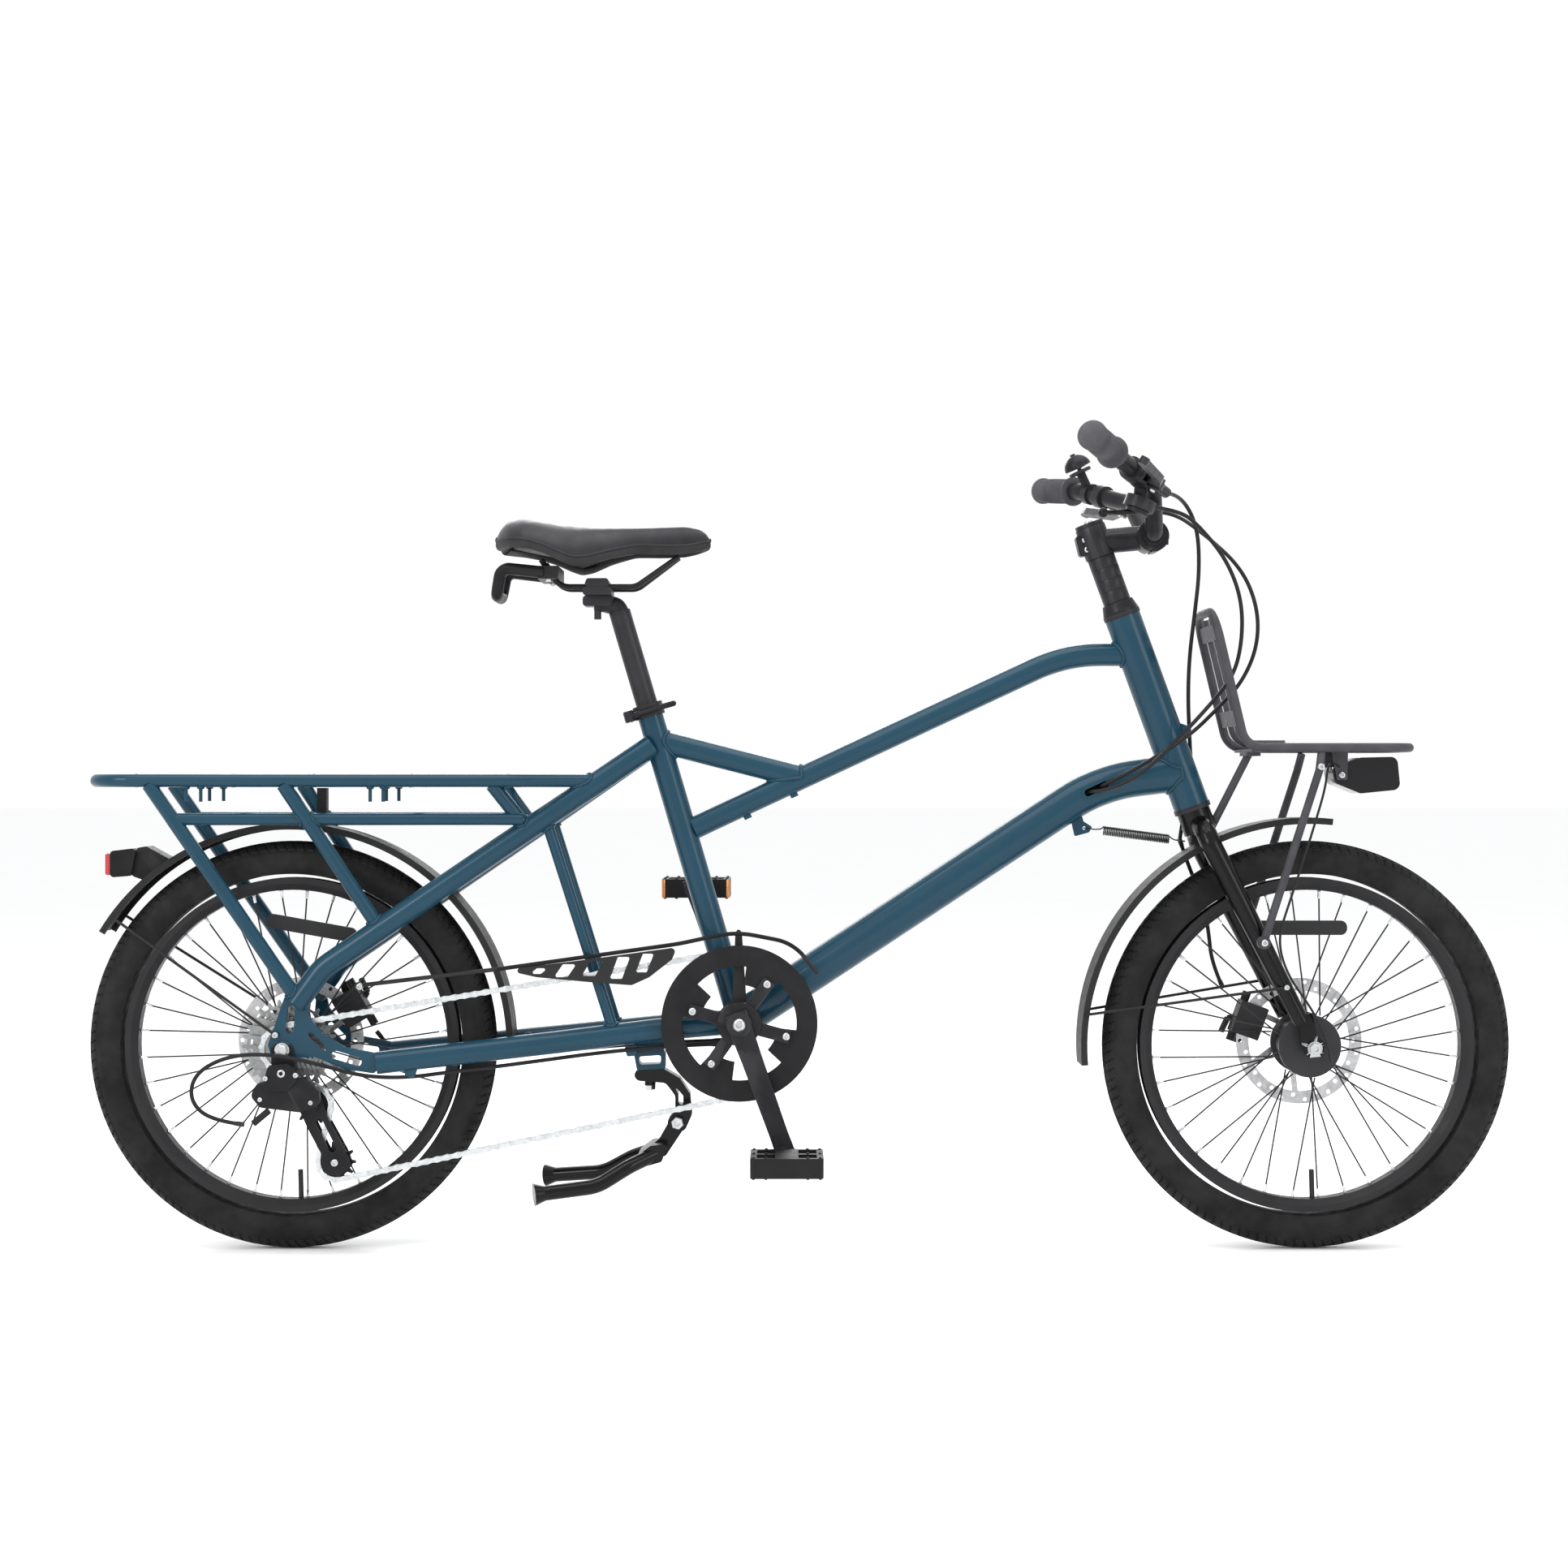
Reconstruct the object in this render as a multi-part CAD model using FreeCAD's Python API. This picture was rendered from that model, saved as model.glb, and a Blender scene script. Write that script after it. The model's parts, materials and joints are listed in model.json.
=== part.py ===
"""Longtail cargo bicycle with 20-inch wheels: welded frame with its own rear rack, fork-mounted front
carrier, seven-speed chain drive, cable disc brakes, hub dynamo lighting and a double-leg stand.

Row frame, in millimetres: +X forwards, +Y to the rider's left, +Z up. The origin is on the ground,
midway between the wheels, in the bicycle's centre plane. The drive side faces -Y.
"""

import FreeCAD
import Part

import math
import os

V = FreeCAD.Vector
Y_AXIS = V(0, 1, 0)
LEFT, RIGHT = 1, -1  # sides of the centre plane, as signs of Y
GAP = 0.3  # running clearance between pieces of different bodies

# ---- driving dimensions ---------------------------------------------------------------------------
WHEELBASE = 1272.0
TYRE_R, TYRE_W = 256.0, 52.0
RIM_OUT, RIM_IN, RIM_W = 209.5, 194.0, 30.0
REAR_AXLE = V(-WHEELBASE / 2, 0, TYRE_R)
FRONT_AXLE = V(WHEELBASE / 2, 0, TYRE_R)
BB = V(-75, 0, 286)  # bottom bracket centre
HEAD_ANGLE, HEAD_LEN = 70.0, 253.0
HEAD_LOW = V(493, 0, 555.5)  # lower end of the head tube, on the steering axis
SEAT_TOP = V(-191.5, 0, 681)  # upper end of the seat tube
REAR_OLD, FRONT_OLD = 135.0, 100.0  # widths between the dropouts
CRANK_LEN, CRANK_ANGLE = 172.0, -70.0  # the right arm's angle at rest, above +X in the X-Z plane
CHAINRING_T, SPROCKETS, PULLEY_T = 44, (14, 16, 18, 20, 22, 24, 28), 11
CHAIN_PITCH, CHAINRING_Y = 12.7, -45.0
SPROCKET_Y, SPROCKET_STEP = -61.5, 4.9
RACK_Z, RACK_LOW_Z, RACK_HALF = 587.0, 539.5, 66.0
SPOKES = 36
PEDAL_Y = 92.0  # inner face of a pedal body from the centre plane

STEER_UP = V(-math.cos(math.radians(HEAD_ANGLE)), 0, math.sin(math.radians(HEAD_ANGLE)))
HEAD_TOP = HEAD_LOW + STEER_UP * HEAD_LEN
SEAT_UP = (SEAT_TOP - BB).normalize()
SEAT_FWD = V(SEAT_UP.z, 0, -SEAT_UP.x)
CRANK_DIR = V(math.cos(math.radians(CRANK_ANGLE)), 0, math.sin(math.radians(CRANK_ANGLE)))
STAND_PIVOT = V(-153, 0, 159)
GUIDE_PULLEY = V(-601, SPROCKET_Y, 187)
TENSION_PULLEY = V(-573, SPROCKET_Y, 116.5)


def pitch_r(teeth):
    """Pitch radius of a chain wheel."""
    return CHAIN_PITCH / 2 / math.sin(math.pi / teeth)


# ---- shape helpers --------------------------------------------------------------------------------
def rod(a, b, r):
    """Round bar from a to b."""
    return Part.makeCylinder(r, (b - a).Length, a, b - a)


def pipe(a, b, r, wall):
    """Straight tube from a to b."""
    return rod(a, b, r).cut(rod(a - (b - a) * 0.01, b + (b - a) * 0.01, r - wall))


def disc(centre, r, y0, y1, hole=0.0):
    """Round plate about a Y axis, from y0 to y1, with an optional hole."""
    base = V(centre.x, min(y0, y1), centre.z)
    plate = Part.makeCylinder(r, abs(y1 - y0), base, Y_AXIS)
    if hole:
        plate = plate.cut(Part.makeCylinder(hole, abs(y1 - y0) + 2, base - Y_AXIS, Y_AXIS))
    return plate


def block(lo, hi):
    """Box between two corners."""
    return Part.makeBox(hi.x - lo.x, hi.y - lo.y, hi.z - lo.z, lo)


def rounded_path(points, radius, closed=False):
    """Wire of straight runs through the points, joined by tangent arcs of one radius or a list of radii."""
    n = len(points)
    corners = range(n) if closed else range(1, n - 1)
    radii = radius if isinstance(radius, (list, tuple)) else [radius] * n
    cut = {}
    for k, i in enumerate(corners):
        p, before, after = points[i], points[i - 1], points[(i + 1) % n]
        u, w = (before - p).normalize(), (after - p).normalize()
        turn = math.pi - u.getAngle(w)
        if turn < 1e-4:
            continue
        r = radii[i] if closed else radii[k]
        back = min(r * math.tan(turn / 2), 0.49 * (before - p).Length, 0.49 * (after - p).Length)
        r = back / math.tan(turn / 2)
        middle = p + (u + w).normalize() * (r / math.cos(turn / 2) - r)
        cut[i] = (p + u * back, middle, p + w * back)
    edges, spot = [], cut[0][2] if closed and 0 in cut else points[0]
    for i in [*corners][1:] + [0] if closed else [*corners, n - 1]:
        if i in cut:
            start, middle, end = cut[i]
            edges += [Part.LineSegment(spot, start).toShape(), Part.Arc(start, middle, end).toShape()]
            spot = end
        else:
            edges.append(Part.LineSegment(spot, points[i]).toShape())
            spot = points[i]
    return Part.Wire(edges)


def bar(points, r, bend):
    """Round bar along straight runs joined by arcs."""
    path = rounded_path(points, bend)
    start = path.OrderedEdges[0]
    ring = Part.Wire(Part.makeCircle(r, points[0], start.tangentAt(start.FirstParameter)))
    return path.makePipeShell([ring], True, True)


def tube(points, r, wall, bend):
    """Bent tube: the bar with its bore taken out."""
    return bar(points, r, bend).cut(bar(points, r - wall, bend))


def outline(points, radius, y0, y1):
    """Plate with a rounded outline in the X-Z plane, from y0 to y1. Points are (x, z)."""
    wire = rounded_path([V(x, y0, z) for x, z in points], radius, closed=True)
    return Part.Face(wire).extrude(V(0, y1 - y0, 0))


def slot_cut(a, b, r, y0, y1):
    """Rounded slot between two (x, z) points, as a solid to cut with."""
    p, q = V(a[0], y0, a[1]), V(b[0], y0, b[1])
    along = (q - p).normalize()
    side = V(-along.z, 0, along.x) * r
    edges = [
        Part.LineSegment(p + side, q + side).toShape(),
        Part.Arc(q + side, q + along * r, q - side).toShape(),
        Part.LineSegment(q - side, p - side).toShape(),
        Part.Arc(p - side, p - along * r, p + side).toShape(),
    ]
    return Part.Face(Part.Wire(edges)).extrude(V(0, y1 - y0, 0))


def turned(profile, centre):
    """Solid of revolution about the Y axis through centre. The profile lists (radius, y)."""
    points = [V(centre.x, y, centre.z + r) for r, y in profile]
    wire = Part.makePolygon([*points, points[0]])
    return Part.Face(wire).revolve(V(centre.x, 0, centre.z), Y_AXIS, 360)


def less(shape, *tools):
    """The shape with the tools cut away."""
    for tool in tools:
        shape = shape.cut(tool)
    return shape


def save(node, *shapes):
    """Writes one node. Its solids stay separate."""
    solids = [s for shape in shapes for s in (shape.Solids if shape.Solids else [shape])]
    Part.makeCompound(solids).exportStep(f"parts/{node}.step")
    bad = [s for s in solids if not s.isValid() or s.Volume <= 0]
    print(f"{node}: {len(solids)} solids, {sum(s.Volume for s in solids) / 1000:.1f} cm3", "BAD" if bad else "")


# ---- frame tubes ----------------------------------------------------------------------------------
HEAD_R, HEAD_BORE = 22.5, 19.0
TOP_R, DOWN_R, SEAT_R, POST_R = 14.3, 23.5, 15.9, 13.6
STAY_R, CHAINSTAY_R, WALL = 14.0, 14.0, 1.8
SHELL_R, SHELL_BORE, SHELL_HALF = 20.5, 17.5, 34.0
TOP_PATH = [V(-133, 0, 527.5), V(335, 0, 745.5), V(424, 0, 745.5)]
DOWN_PATH = [V(-75, 0, 286), V(378, 0, 585), V(478, 0, 597)]
BRACE_PATH = [V(-178, 0, 637), V(6, 0, 590)]
TOP_BEND, DOWN_BEND = 300.0, 400.0
BOSS_AT = (-72.0, -13.5)  # X of the two bottle bosses under the top tube
BOSS_BORE, BOSS_R, BOSS_LEN = 2.5, 5.0, 9.0


def stay_path(side):
    """Centre line of an upper stay, from the seat tube to its dropout."""
    y = side
    return [V(-186, 12 * y, 631), V(-310, 42 * y, 545.5), V(-590, 64 * y, 355), V(-621, 69 * y, 311)]


def chainstay_path(side):
    """Centre line of a chainstay, from the bottom bracket to its dropout."""
    return [V(-82, 20 * side, 284), V(-180, 25 * side, 276), V(-300, 44 * side, 262.5), V(-522, 69 * side, 239)]


HEAD_SOLID = rod(HEAD_LOW, HEAD_TOP, HEAD_R)
SEAT_SOLID = rod(BB, SEAT_TOP, SEAT_R)
SHELL_SOLID = disc(BB, SHELL_R, -SHELL_HALF, SHELL_HALF)
TOP_SOLID = bar(TOP_PATH, TOP_R, TOP_BEND)
DOWN_SOLID = bar(DOWN_PATH, DOWN_R, DOWN_BEND)
STAY_SOLIDS = {s: bar(stay_path(s), STAY_R, 70) for s in (LEFT, RIGHT)}
CHAINSTAY_SOLIDS = {s: bar(chainstay_path(s), CHAINSTAY_R, 120) for s in (LEFT, RIGHT)}


def head_tube():
    return pipe(HEAD_LOW, HEAD_TOP, HEAD_R, HEAD_R - HEAD_BORE)


def along_top(x):
    """Point on the top tube's straight centre line at X."""
    a, b = TOP_PATH[0], TOP_PATH[1]
    return a + (b - a) * ((x - a.x) / (b.x - a.x))


def bottle_boss(x):
    """Threaded boss under the top tube: (boss solid, hole solid)."""
    a, b = TOP_PATH[0], TOP_PATH[1]
    run = (b - a).normalize()
    down = V(run.z, 0, -run.x)
    mouth = along_top(x) + down * (TOP_R + 4.0)
    return rod(mouth, mouth - down * BOSS_LEN, BOSS_R), rod(mouth + down, mouth - down * (BOSS_LEN + 1), BOSS_BORE)


def top_tubes():
    """Curved top tube with its bottle bosses, and the short brace to the seat tube."""
    top = less(tube(TOP_PATH, TOP_R, WALL, TOP_BEND), HEAD_SOLID, SEAT_SOLID)
    for x in BOSS_AT:
        boss, hole = bottle_boss(x)
        top = top.fuse(boss).cut(hole)
    brace = less(pipe(BRACE_PATH[0], BRACE_PATH[1], TOP_R, WALL), SEAT_SOLID, TOP_SOLID)
    return [max(top.Solids, key=lambda s: s.Volume), max(brace.Solids, key=lambda s: s.Volume)]


PORT = V(371, -DOWN_R, 577)
PORT_LEN, PORT_R = 24.0, 4.5


def down_tube():
    """Large down tube with the cable port in its drive side and the tab of the steering spring below."""
    body = less(tube(DOWN_PATH, DOWN_R, 2.2, DOWN_BEND), HEAD_SOLID, SHELL_SOLID, SEAT_SOLID)
    lean = V(0.905, 0, 0.425) * (PORT_LEN / 2)
    rim = slot_cut((PORT.x - lean.x, PORT.z - lean.z), (PORT.x + lean.x, PORT.z + lean.z), 7.5, -24.5, -18)
    hole = slot_cut((PORT.x - lean.x, PORT.z - lean.z), (PORT.x + lean.x, PORT.z + lean.z), PORT_R, -26, -12)
    body = body.fuse(rim.cut(bar(DOWN_PATH, DOWN_R - 2.2, DOWN_BEND))).cut(hole)
    tab = outline([(338, 552), (352, 556), (357, 536), (368, 529), (364, 522), (346, 517)], 2, -2.5, 2.5)
    tab = less(tab, DOWN_SOLID, disc(SPRING_A, 2.2, -4, 4), rod(SPRING_A, SPRING_A + V(30, 0, -3.9), 2.2))
    tab = max(tab.Solids, key=lambda s: s.Volume)
    return [max(body.Solids, key=lambda s: s.Volume), tab]


def seat_tube():
    """Seat tube, slotted at the top for the clamp, and the bottom bracket shell."""
    body = pipe(BB, SEAT_TOP, SEAT_R, SEAT_R - POST_R - 0.05).cut(SHELL_SOLID)
    slit = block(V(SEAT_TOP.x - 30, -1, SEAT_TOP.z - 30), V(SEAT_TOP.x + 2, 1, SEAT_TOP.z + 12))
    body = max(body.cut(slit).Solids, key=lambda s: s.Volume)
    return [body, disc(BB, SHELL_R, -SHELL_HALF, SHELL_HALF, SHELL_BORE)]


def upper_stays():
    """Two long stays from the seat tube to the dropouts."""
    stays = []
    for side in (LEFT, RIGHT):
        stay = less(tube(stay_path(side), STAY_R, WALL, 70), SEAT_SOLID)
        half = block(V(-700, 0.05, 200), V(-100, 120, 800))
        stay = stay.common(half if side > 0 else half.mirror(V(0, 0, 0), Y_AXIS))
        stays.append(max(stay.Solids, key=lambda s: s.Volume))
    return stays


def dropout(side):
    """Forged rear dropout: axle seat, adjusting slot, and the swept arm that the chainstay enters."""
    y0, y1 = side * REAR_OLD / 2, side * (REAR_OLD / 2 + 6)
    edge = [(-634, 322), (-609, 322), (-604, 296), (-588, 276), (-560, 259), (-521, 251.5), (-521, 226),
            (-560, 232), (-597, 247), (-616, 246), (-624, 240), (-648, 240), (-655, 262), (-645, 290)]
    plate = outline(edge, 5, y0, y1)
    lo, hi = min(y0, y1) - 5, max(y0, y1) + 5
    cuts = [disc(REAR_AXLE, 5.2, lo, hi), slot_cut((-628, 281), (-626, 305), 5.0, lo, hi)]
    cuts += [slot_cut((-602, 274), (-586, 258), 3.5, lo, hi), slot_cut((-571, 249), (-545, 241), 5.5, lo, hi)]
    cuts += [disc(V(-645, 0, 274), 2.6, lo, hi)]
    return less(plate, *cuts)


def chainstays():
    """Two chainstays, the bridge between them and the stand's bracket under it."""
    solids = []
    for side in (LEFT, RIGHT):
        stay = less(tube(chainstay_path(side), CHAINSTAY_R, WALL, 120), SEAT_SOLID, DOWN_SOLID)
        stay = less(stay, disc(BB, 21.7, -38, 38))
        half = block(V(-700, 0.05, 200), V(0, 120, 400))
        stay = stay.common(half if side > 0 else half.mirror(V(0, 0, 0), Y_AXIS))
        solids.append(max(stay.Solids, key=lambda s: s.Volume))
    bridge = rod(V(-345, -60, 258), V(-345, 60, 258), 7.0)
    bridge = less(bridge, *CHAINSTAY_SOLIDS.values())
    solids.append([s for s in bridge.Solids if abs(s.CenterOfMass.y) < 5][0])
    plate = outline([(-208, 246), (-168, 248), (-168, 226), (-204, 224)], 3, -13, 13)
    plate = plate.cut(outline([(-202, 241), (-174, 243), (-174, 232), (-200, 231)], 3, -14, 14))
    cap = block(V(-206, -40, 244), V(-170, 40, 268))
    cap = less(cap, *CHAINSTAY_SOLIDS.values())
    cap = [s for s in cap.Solids if abs(s.CenterOfMass.y) < 8][0]
    solids.append(plate.fuse(cap.common(block(V(-206, -12, 244), V(-170, 12, 262)))))
    for x, z in ((-210, 247), (-480, 224)):
        guide = outline([(x - 9, z + 8), (x + 9, z + 9), (x + 5, z - 3), (x - 5, z - 4)], 2, -3, 3)
        y = -28 if x > -300 else -67
        guide.translate(V(0, y, 0))
        guide = less(guide, *CHAINSTAY_SOLIDS.values(), cord(GEAR_ROUTE, CABLE_R))
        solids.append(max(guide.Solids, key=lambda s: s.Volume))
    return solids


# ---- rear rack, welded to the frame ---------------------------------------------------------------
RAIL_R, STRUT_R = 8.0, 9.0
STRUT_LINES = {"a": ((-803, 66, 582), (-622, 70, 322)), "b": ((-637, 66, 582), (-519, 58.5, 404)),
               "c": ((-380, 60, 582), (-338, 46, 527))}
CROSS_X = (-820.0, -700.0, -600.0, -480.0, -360.0)
HOOK_X = (-757.0, -739.0, -530.0, -514.0)


def rail_path():
    """The deck's U-shaped rail, from stay to stay round the back."""
    right = [V(-246, -27, RACK_Z), V(-345, -RACK_HALF, RACK_Z), V(-878, -RACK_HALF, RACK_Z)]
    return right + [V(p.x, -p.y, p.z) for p in reversed(right)]


RAIL_SOLID = bar(rail_path(), RAIL_R, [70, 48, 48, 70])
STRUT_SOLIDS = {(k, s): rod(V(a[0], a[1] * s, a[2]), V(b[0], b[1] * s, b[2]), STRUT_R)
                for k, (a, b) in STRUT_LINES.items() for s in (LEFT, RIGHT)}


def lying_on(shape, x, y, z):
    """The one solid of a cut shape that lies nearest a point."""
    return min(shape.Solids, key=lambda s: (s.CenterOfMass - V(x, y, z)).Length)


def rack_rail():
    """The deck's bent rail, welded to the stays."""
    rail = less(tube(rail_path(), RAIL_R, 1.5, [70, 48, 48, 70]), *STAY_SOLIDS.values(), SEAT_SOLID)
    return max(rail.Solids, key=lambda s: s.Volume)


def rack_frame():
    """Cross tubes, lower rails, struts and strap pegs of the rack."""
    solids = []
    for x in CROSS_X:
        cross = pipe(V(x, -RACK_HALF - 8, RACK_Z), V(x, RACK_HALF + 8, RACK_Z), 6.0, 1.2).cut(RAIL_SOLID)
        solids.append(lying_on(cross, x, 0, RACK_Z))
    for side in (LEFT, RIGHT):
        for key, (a, b) in STRUT_LINES.items():
            a, b = V(a[0], a[1] * side, a[2]), V(b[0], b[1] * side, b[2])
            strut = less(pipe(a, b, STRUT_R, 1.6), RAIL_SOLID, STAY_SOLIDS[side], DROPOUTS[side])
            solids.append(max(strut.Solids, key=lambda s: s.Volume))
        low = pipe(V(-768, RACK_HALF * side, RACK_LOW_Z), V(-343, 56 * side, RACK_LOW_Z), 7.5, 1.4)
        low = less(low, *[STRUT_SOLIDS[k, side] for k in "abc"], STAY_SOLIDS[side])
        solids += sorted(low.Solids, key=lambda s: -s.Volume)[:2]
        for x in HOOK_X:
            peg = rod(V(x, RACK_HALF * side, RACK_Z - 4), V(x, RACK_HALF * side, RACK_Z - 26), 2.2)
            solids.append(lying_on(peg.cut(RAIL_SOLID), x, RACK_HALF * side, RACK_Z - 20))
    bridge = less(rod(V(-690, -64, RACK_LOW_Z), V(-690, 64, RACK_LOW_Z), 5.0), *solids)
    solids.append(lying_on(bridge, -690, 0, RACK_LOW_Z))
    for side in (LEFT, RIGHT):
        top, low = V(-316, 42 * side, 541), V(-231, 33 * side, 272)
        post = less(rod(top, low, 7.0), STAY_SOLIDS[side], CHAINSTAY_SOLIDS[side])
        solids.append(lying_on(post, -272, 38 * side, 405))
    return solids


# ---- bearings, seat clamp and seat post -----------------------------------------------------------
STEERER_R, SPACER_R = 14.3, 15.8
POST_TOP = SEAT_TOP + SEAT_UP * 124.0
CLAMP_LOW, CLAMP_HIGH = SEAT_TOP - SEAT_UP * 14, SEAT_TOP + SEAT_UP * 2


def frame_bearings():
    """Headset cups pressed into the head tube, and the bottom bracket's two cups and its sleeve."""
    solids = []
    for end, out in ((HEAD_LOW, -1), (HEAD_TOP, 1)):
        lip = rod(end, end + STEER_UP * (6 * out), HEAD_R + 1)
        skirt = rod(end - STEER_UP * (12 * out), end, HEAD_BORE)
        bore = rod(end - STEER_UP * (20 * out), end + STEER_UP * (20 * out), STEERER_R + GAP)
        solids.append(lip.fuse(skirt).cut(bore).removeSplitter())
    for side in (LEFT, RIGHT):
        cup = disc(BB, SHELL_BORE, side * 14, side * SHELL_HALF, 8.3).fuse(
            disc(BB, 21.5, side * SHELL_HALF, side * 36.5, 8.3))
        solids.append(cup.removeSplitter())
    solids.append(disc(BB, 15.0, -13.8, 13.8, 12.0))
    return solids


SKEWER = SEAT_TOP - SEAT_UP * 7 - SEAT_FWD * (SEAT_R + 9)


def seat_clamp():
    """Split collar round the top of the seat tube, with the skewer's two ears behind it."""
    collar = rod(CLAMP_LOW, CLAMP_HIGH, SEAT_R + 3.2)
    ears = Part.makeBox(16, 15, 12, V(0, 0, 0))
    ears.translate(V(-16 - SEAT_R, -7.5, -13))
    ears.rotate(V(0, 0, 0), Y_AXIS, math.degrees(math.atan2(SEAT_UP.x, SEAT_UP.z)))
    ears.translate(SEAT_TOP)
    slit = Part.makeBox(34, 3, 24, V(-34, -1.5, -18))
    slit.rotate(V(0, 0, 0), Y_AXIS, math.degrees(math.atan2(SEAT_UP.x, SEAT_UP.z)))
    slit.translate(SEAT_TOP)
    bore = rod(CLAMP_LOW - SEAT_UP, SEAT_TOP, SEAT_R).fuse(rod(SEAT_TOP, CLAMP_HIGH + SEAT_UP, POST_R + GAP))
    skewer = rod(SKEWER - Y_AXIS * 40, SKEWER + Y_AXIS * 40, 2.8)
    return less(collar.fuse(ears), bore, slit, skewer)


def seat_skewer():
    """Skewer through the clamp's ears, its nut on the left and its fixed stub on the right."""
    pin = rod(SKEWER - Y_AXIS * 7.4, SKEWER + Y_AXIS * 14, 2.7)
    nut = rod(SKEWER + Y_AXIS * 7.6, SKEWER + Y_AXIS * 15, 6.5)
    return pin.fuse(nut).removeSplitter()


def clamp_lever():
    """Quick-release lever, closed alongside the seat tube, with its cam barrel upright beside the clamp's ear."""
    at = SKEWER - Y_AXIS * 14
    barrel = rod(at - SEAT_UP * 7, at + SEAT_UP * 7, 6.2)
    bend = [at, at + SEAT_FWD * 14 - Y_AXIS * 8, at + SEAT_FWD * 46 - Y_AXIS * 12, at + SEAT_FWD * 58 - Y_AXIS * 9]
    blade = bar(bend, 3.6, [26, 26]).fuse(Part.makeSphere(3.6, bend[-1]))
    return barrel.fuse(blade).removeSplitter()


def seatpost():
    """Seat post: a tube with a forged rearward head on it, and the clamp that grips the saddle rails."""
    post = rod(BB + SEAT_UP * 250, POST_TOP - SEAT_UP * 8, POST_R)
    collar = rod(POST_TOP - SEAT_UP * 8, POST_TOP, POST_R)
    neck = bar([POST_TOP - SEAT_UP * 8, POST_TOP + SEAT_UP * 6, V(-256, 0, 813)], 11.5, 9)
    head = outline([(-272, 806), (-236, 806), (-232, 819), (-272, 819)], 4, -14, 14)
    forging = collar.fuse(neck).fuse(head).removeSplitter()
    upper = outline([(-270, 829.5), (-236, 829.5), (-240, 840), (-266, 840)], 4, -27, 27)
    lower = outline([(-271, 819.3), (-235, 819.3), (-235, 829.3), (-271, 829.3)], 3, -27, 27)
    rails = [rod(V(-300, 22 * s, 829.4), V(-200, 22 * s, 829.4), 3.6) for s in (LEFT, RIGHT)]
    forging = forging.cut(block(V(-280, -30, 819.2), V(-225, 30, 850)))
    bolt = rod(V(-254, 0, 790), V(-254, 0, 806), 4.5).cut(forging)
    return [post, forging, less(upper, *rails), less(lower, *rails), min(bolt.Solids, key=lambda s: s.CenterOfMass.z)]


def saddle_rails():
    """Two bent steel rails under the saddle, and the lifting handle bolted behind them."""
    solids = []
    for side in (LEFT, RIGHT):
        path = [V(-322, 34 * side, 862), V(-300, 22 * side, 829.4), V(-205, 22 * side, 829.4),
                V(-152, 8 * side, 868)]
        solids.append(bar(path, 3.5, 22))
    grip = bar([V(-318, -40, 846), V(-372, -34, 852), V(-378, -30, 818), V(-378, 30, 818), V(-372, 34, 852),
                V(-318, 40, 846)], 7.5, 12)
    plate = block(V(-326, -44, 838), V(-300, 44, 854))
    holes = [rod(V(-340, 22 * s, 829.4 + 32), V(-290, 22 * s, 818), 4) for s in (LEFT, RIGHT)]
    handle = less(grip.fuse(plate), *holes, *solids)
    solids.append(max(handle.Solids, key=lambda s: s.Volume))
    return solids


SADDLE_STATIONS = (  # x, half width, bottom, top
    (-379, 40, 868, 884), (-366, 74, 864, 903), (-338, 90, 862, 914), (-300, 86, 858, 911),
    (-262, 62, 852, 905), (-225, 36, 858, 902), (-180, 24, 868, 903), (-140, 21, 870, 904),
    (-120, 16, 872, 897), (-112, 8, 878, 890))


def saddle():
    """Plain closed body of the saddle: pad and shell in one."""
    rings = []
    for x, half, low, high in SADDLE_STATIONS:
        mid, up, down = (low + high) / 2, (high - low) / 2, (high - low) / 2
        points = [V(x, half * math.cos(a), mid + (up if math.sin(a) > 0 else down) * math.sin(a))
                  for a in [2 * math.pi * k / 16 for k in range(16)]]
        curve = Part.BSplineCurve()
        curve.interpolate(points, PeriodicFlag=True)
        rings.append(Part.Wire(curve.toShape()))
    body = Part.makeLoft(rings, True, False)
    clear = [bar([V(-322, 34 * s, 862), V(-300, 22 * s, 829.4), V(-205, 22 * s, 829.4), V(-152, 8 * s, 868)], 3.5, 22)
             for s in (LEFT, RIGHT)]
    return less(body, *clear)


# ---- rear end: axle, mudguard, lamp, chain guard, brake and cables --------------------------------
AXLE_R, FIT = 5.0, 0.06
ROTOR_R, REAR_ROTOR_Y, FRONT_ROTOR_Y = 80.0, 48.5, 40.0


def arc_band(centre, r_in, r_out, a0, a1, width, y=0.0):
    """Curved strip about a Y axis through centre, from angle a0 to a1 (degrees above +X)."""
    def at(r, a):
        return V(centre.x + r * math.cos(math.radians(a)), y - width / 2, centre.z + r * math.sin(math.radians(a)))

    mid = (a0 + a1) / 2
    edges = [
        Part.Arc(at(r_in, a0), at(r_in, mid), at(r_in, a1)).toShape(),
        Part.LineSegment(at(r_in, a1), at(r_out, a1)).toShape(),
        Part.Arc(at(r_out, a1), at(r_out, mid), at(r_out, a0)).toShape(),
        Part.LineSegment(at(r_out, a0), at(r_in, a0)).toShape(),
    ]
    return Part.Face(Part.Wire(edges)).extrude(V(0, width, 0))


def mudguard(centre, r, a0, a1):
    """Mudguard blade with turned-down edges."""
    blade = arc_band(centre, r, r + 2, a0, a1, 58)
    sides = [arc_band(centre, r - 6, r + 2, a0, a1, 2, y) for y in (-28, 28)]
    return blade.fuse(sides).removeSplitter()


def point_on(centre, r, angle, y):
    """Point at a radius and an angle above +X about a Y axis."""
    a = math.radians(angle)
    return V(centre.x + r * math.cos(a), y, centre.z + r * math.sin(a))


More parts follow.
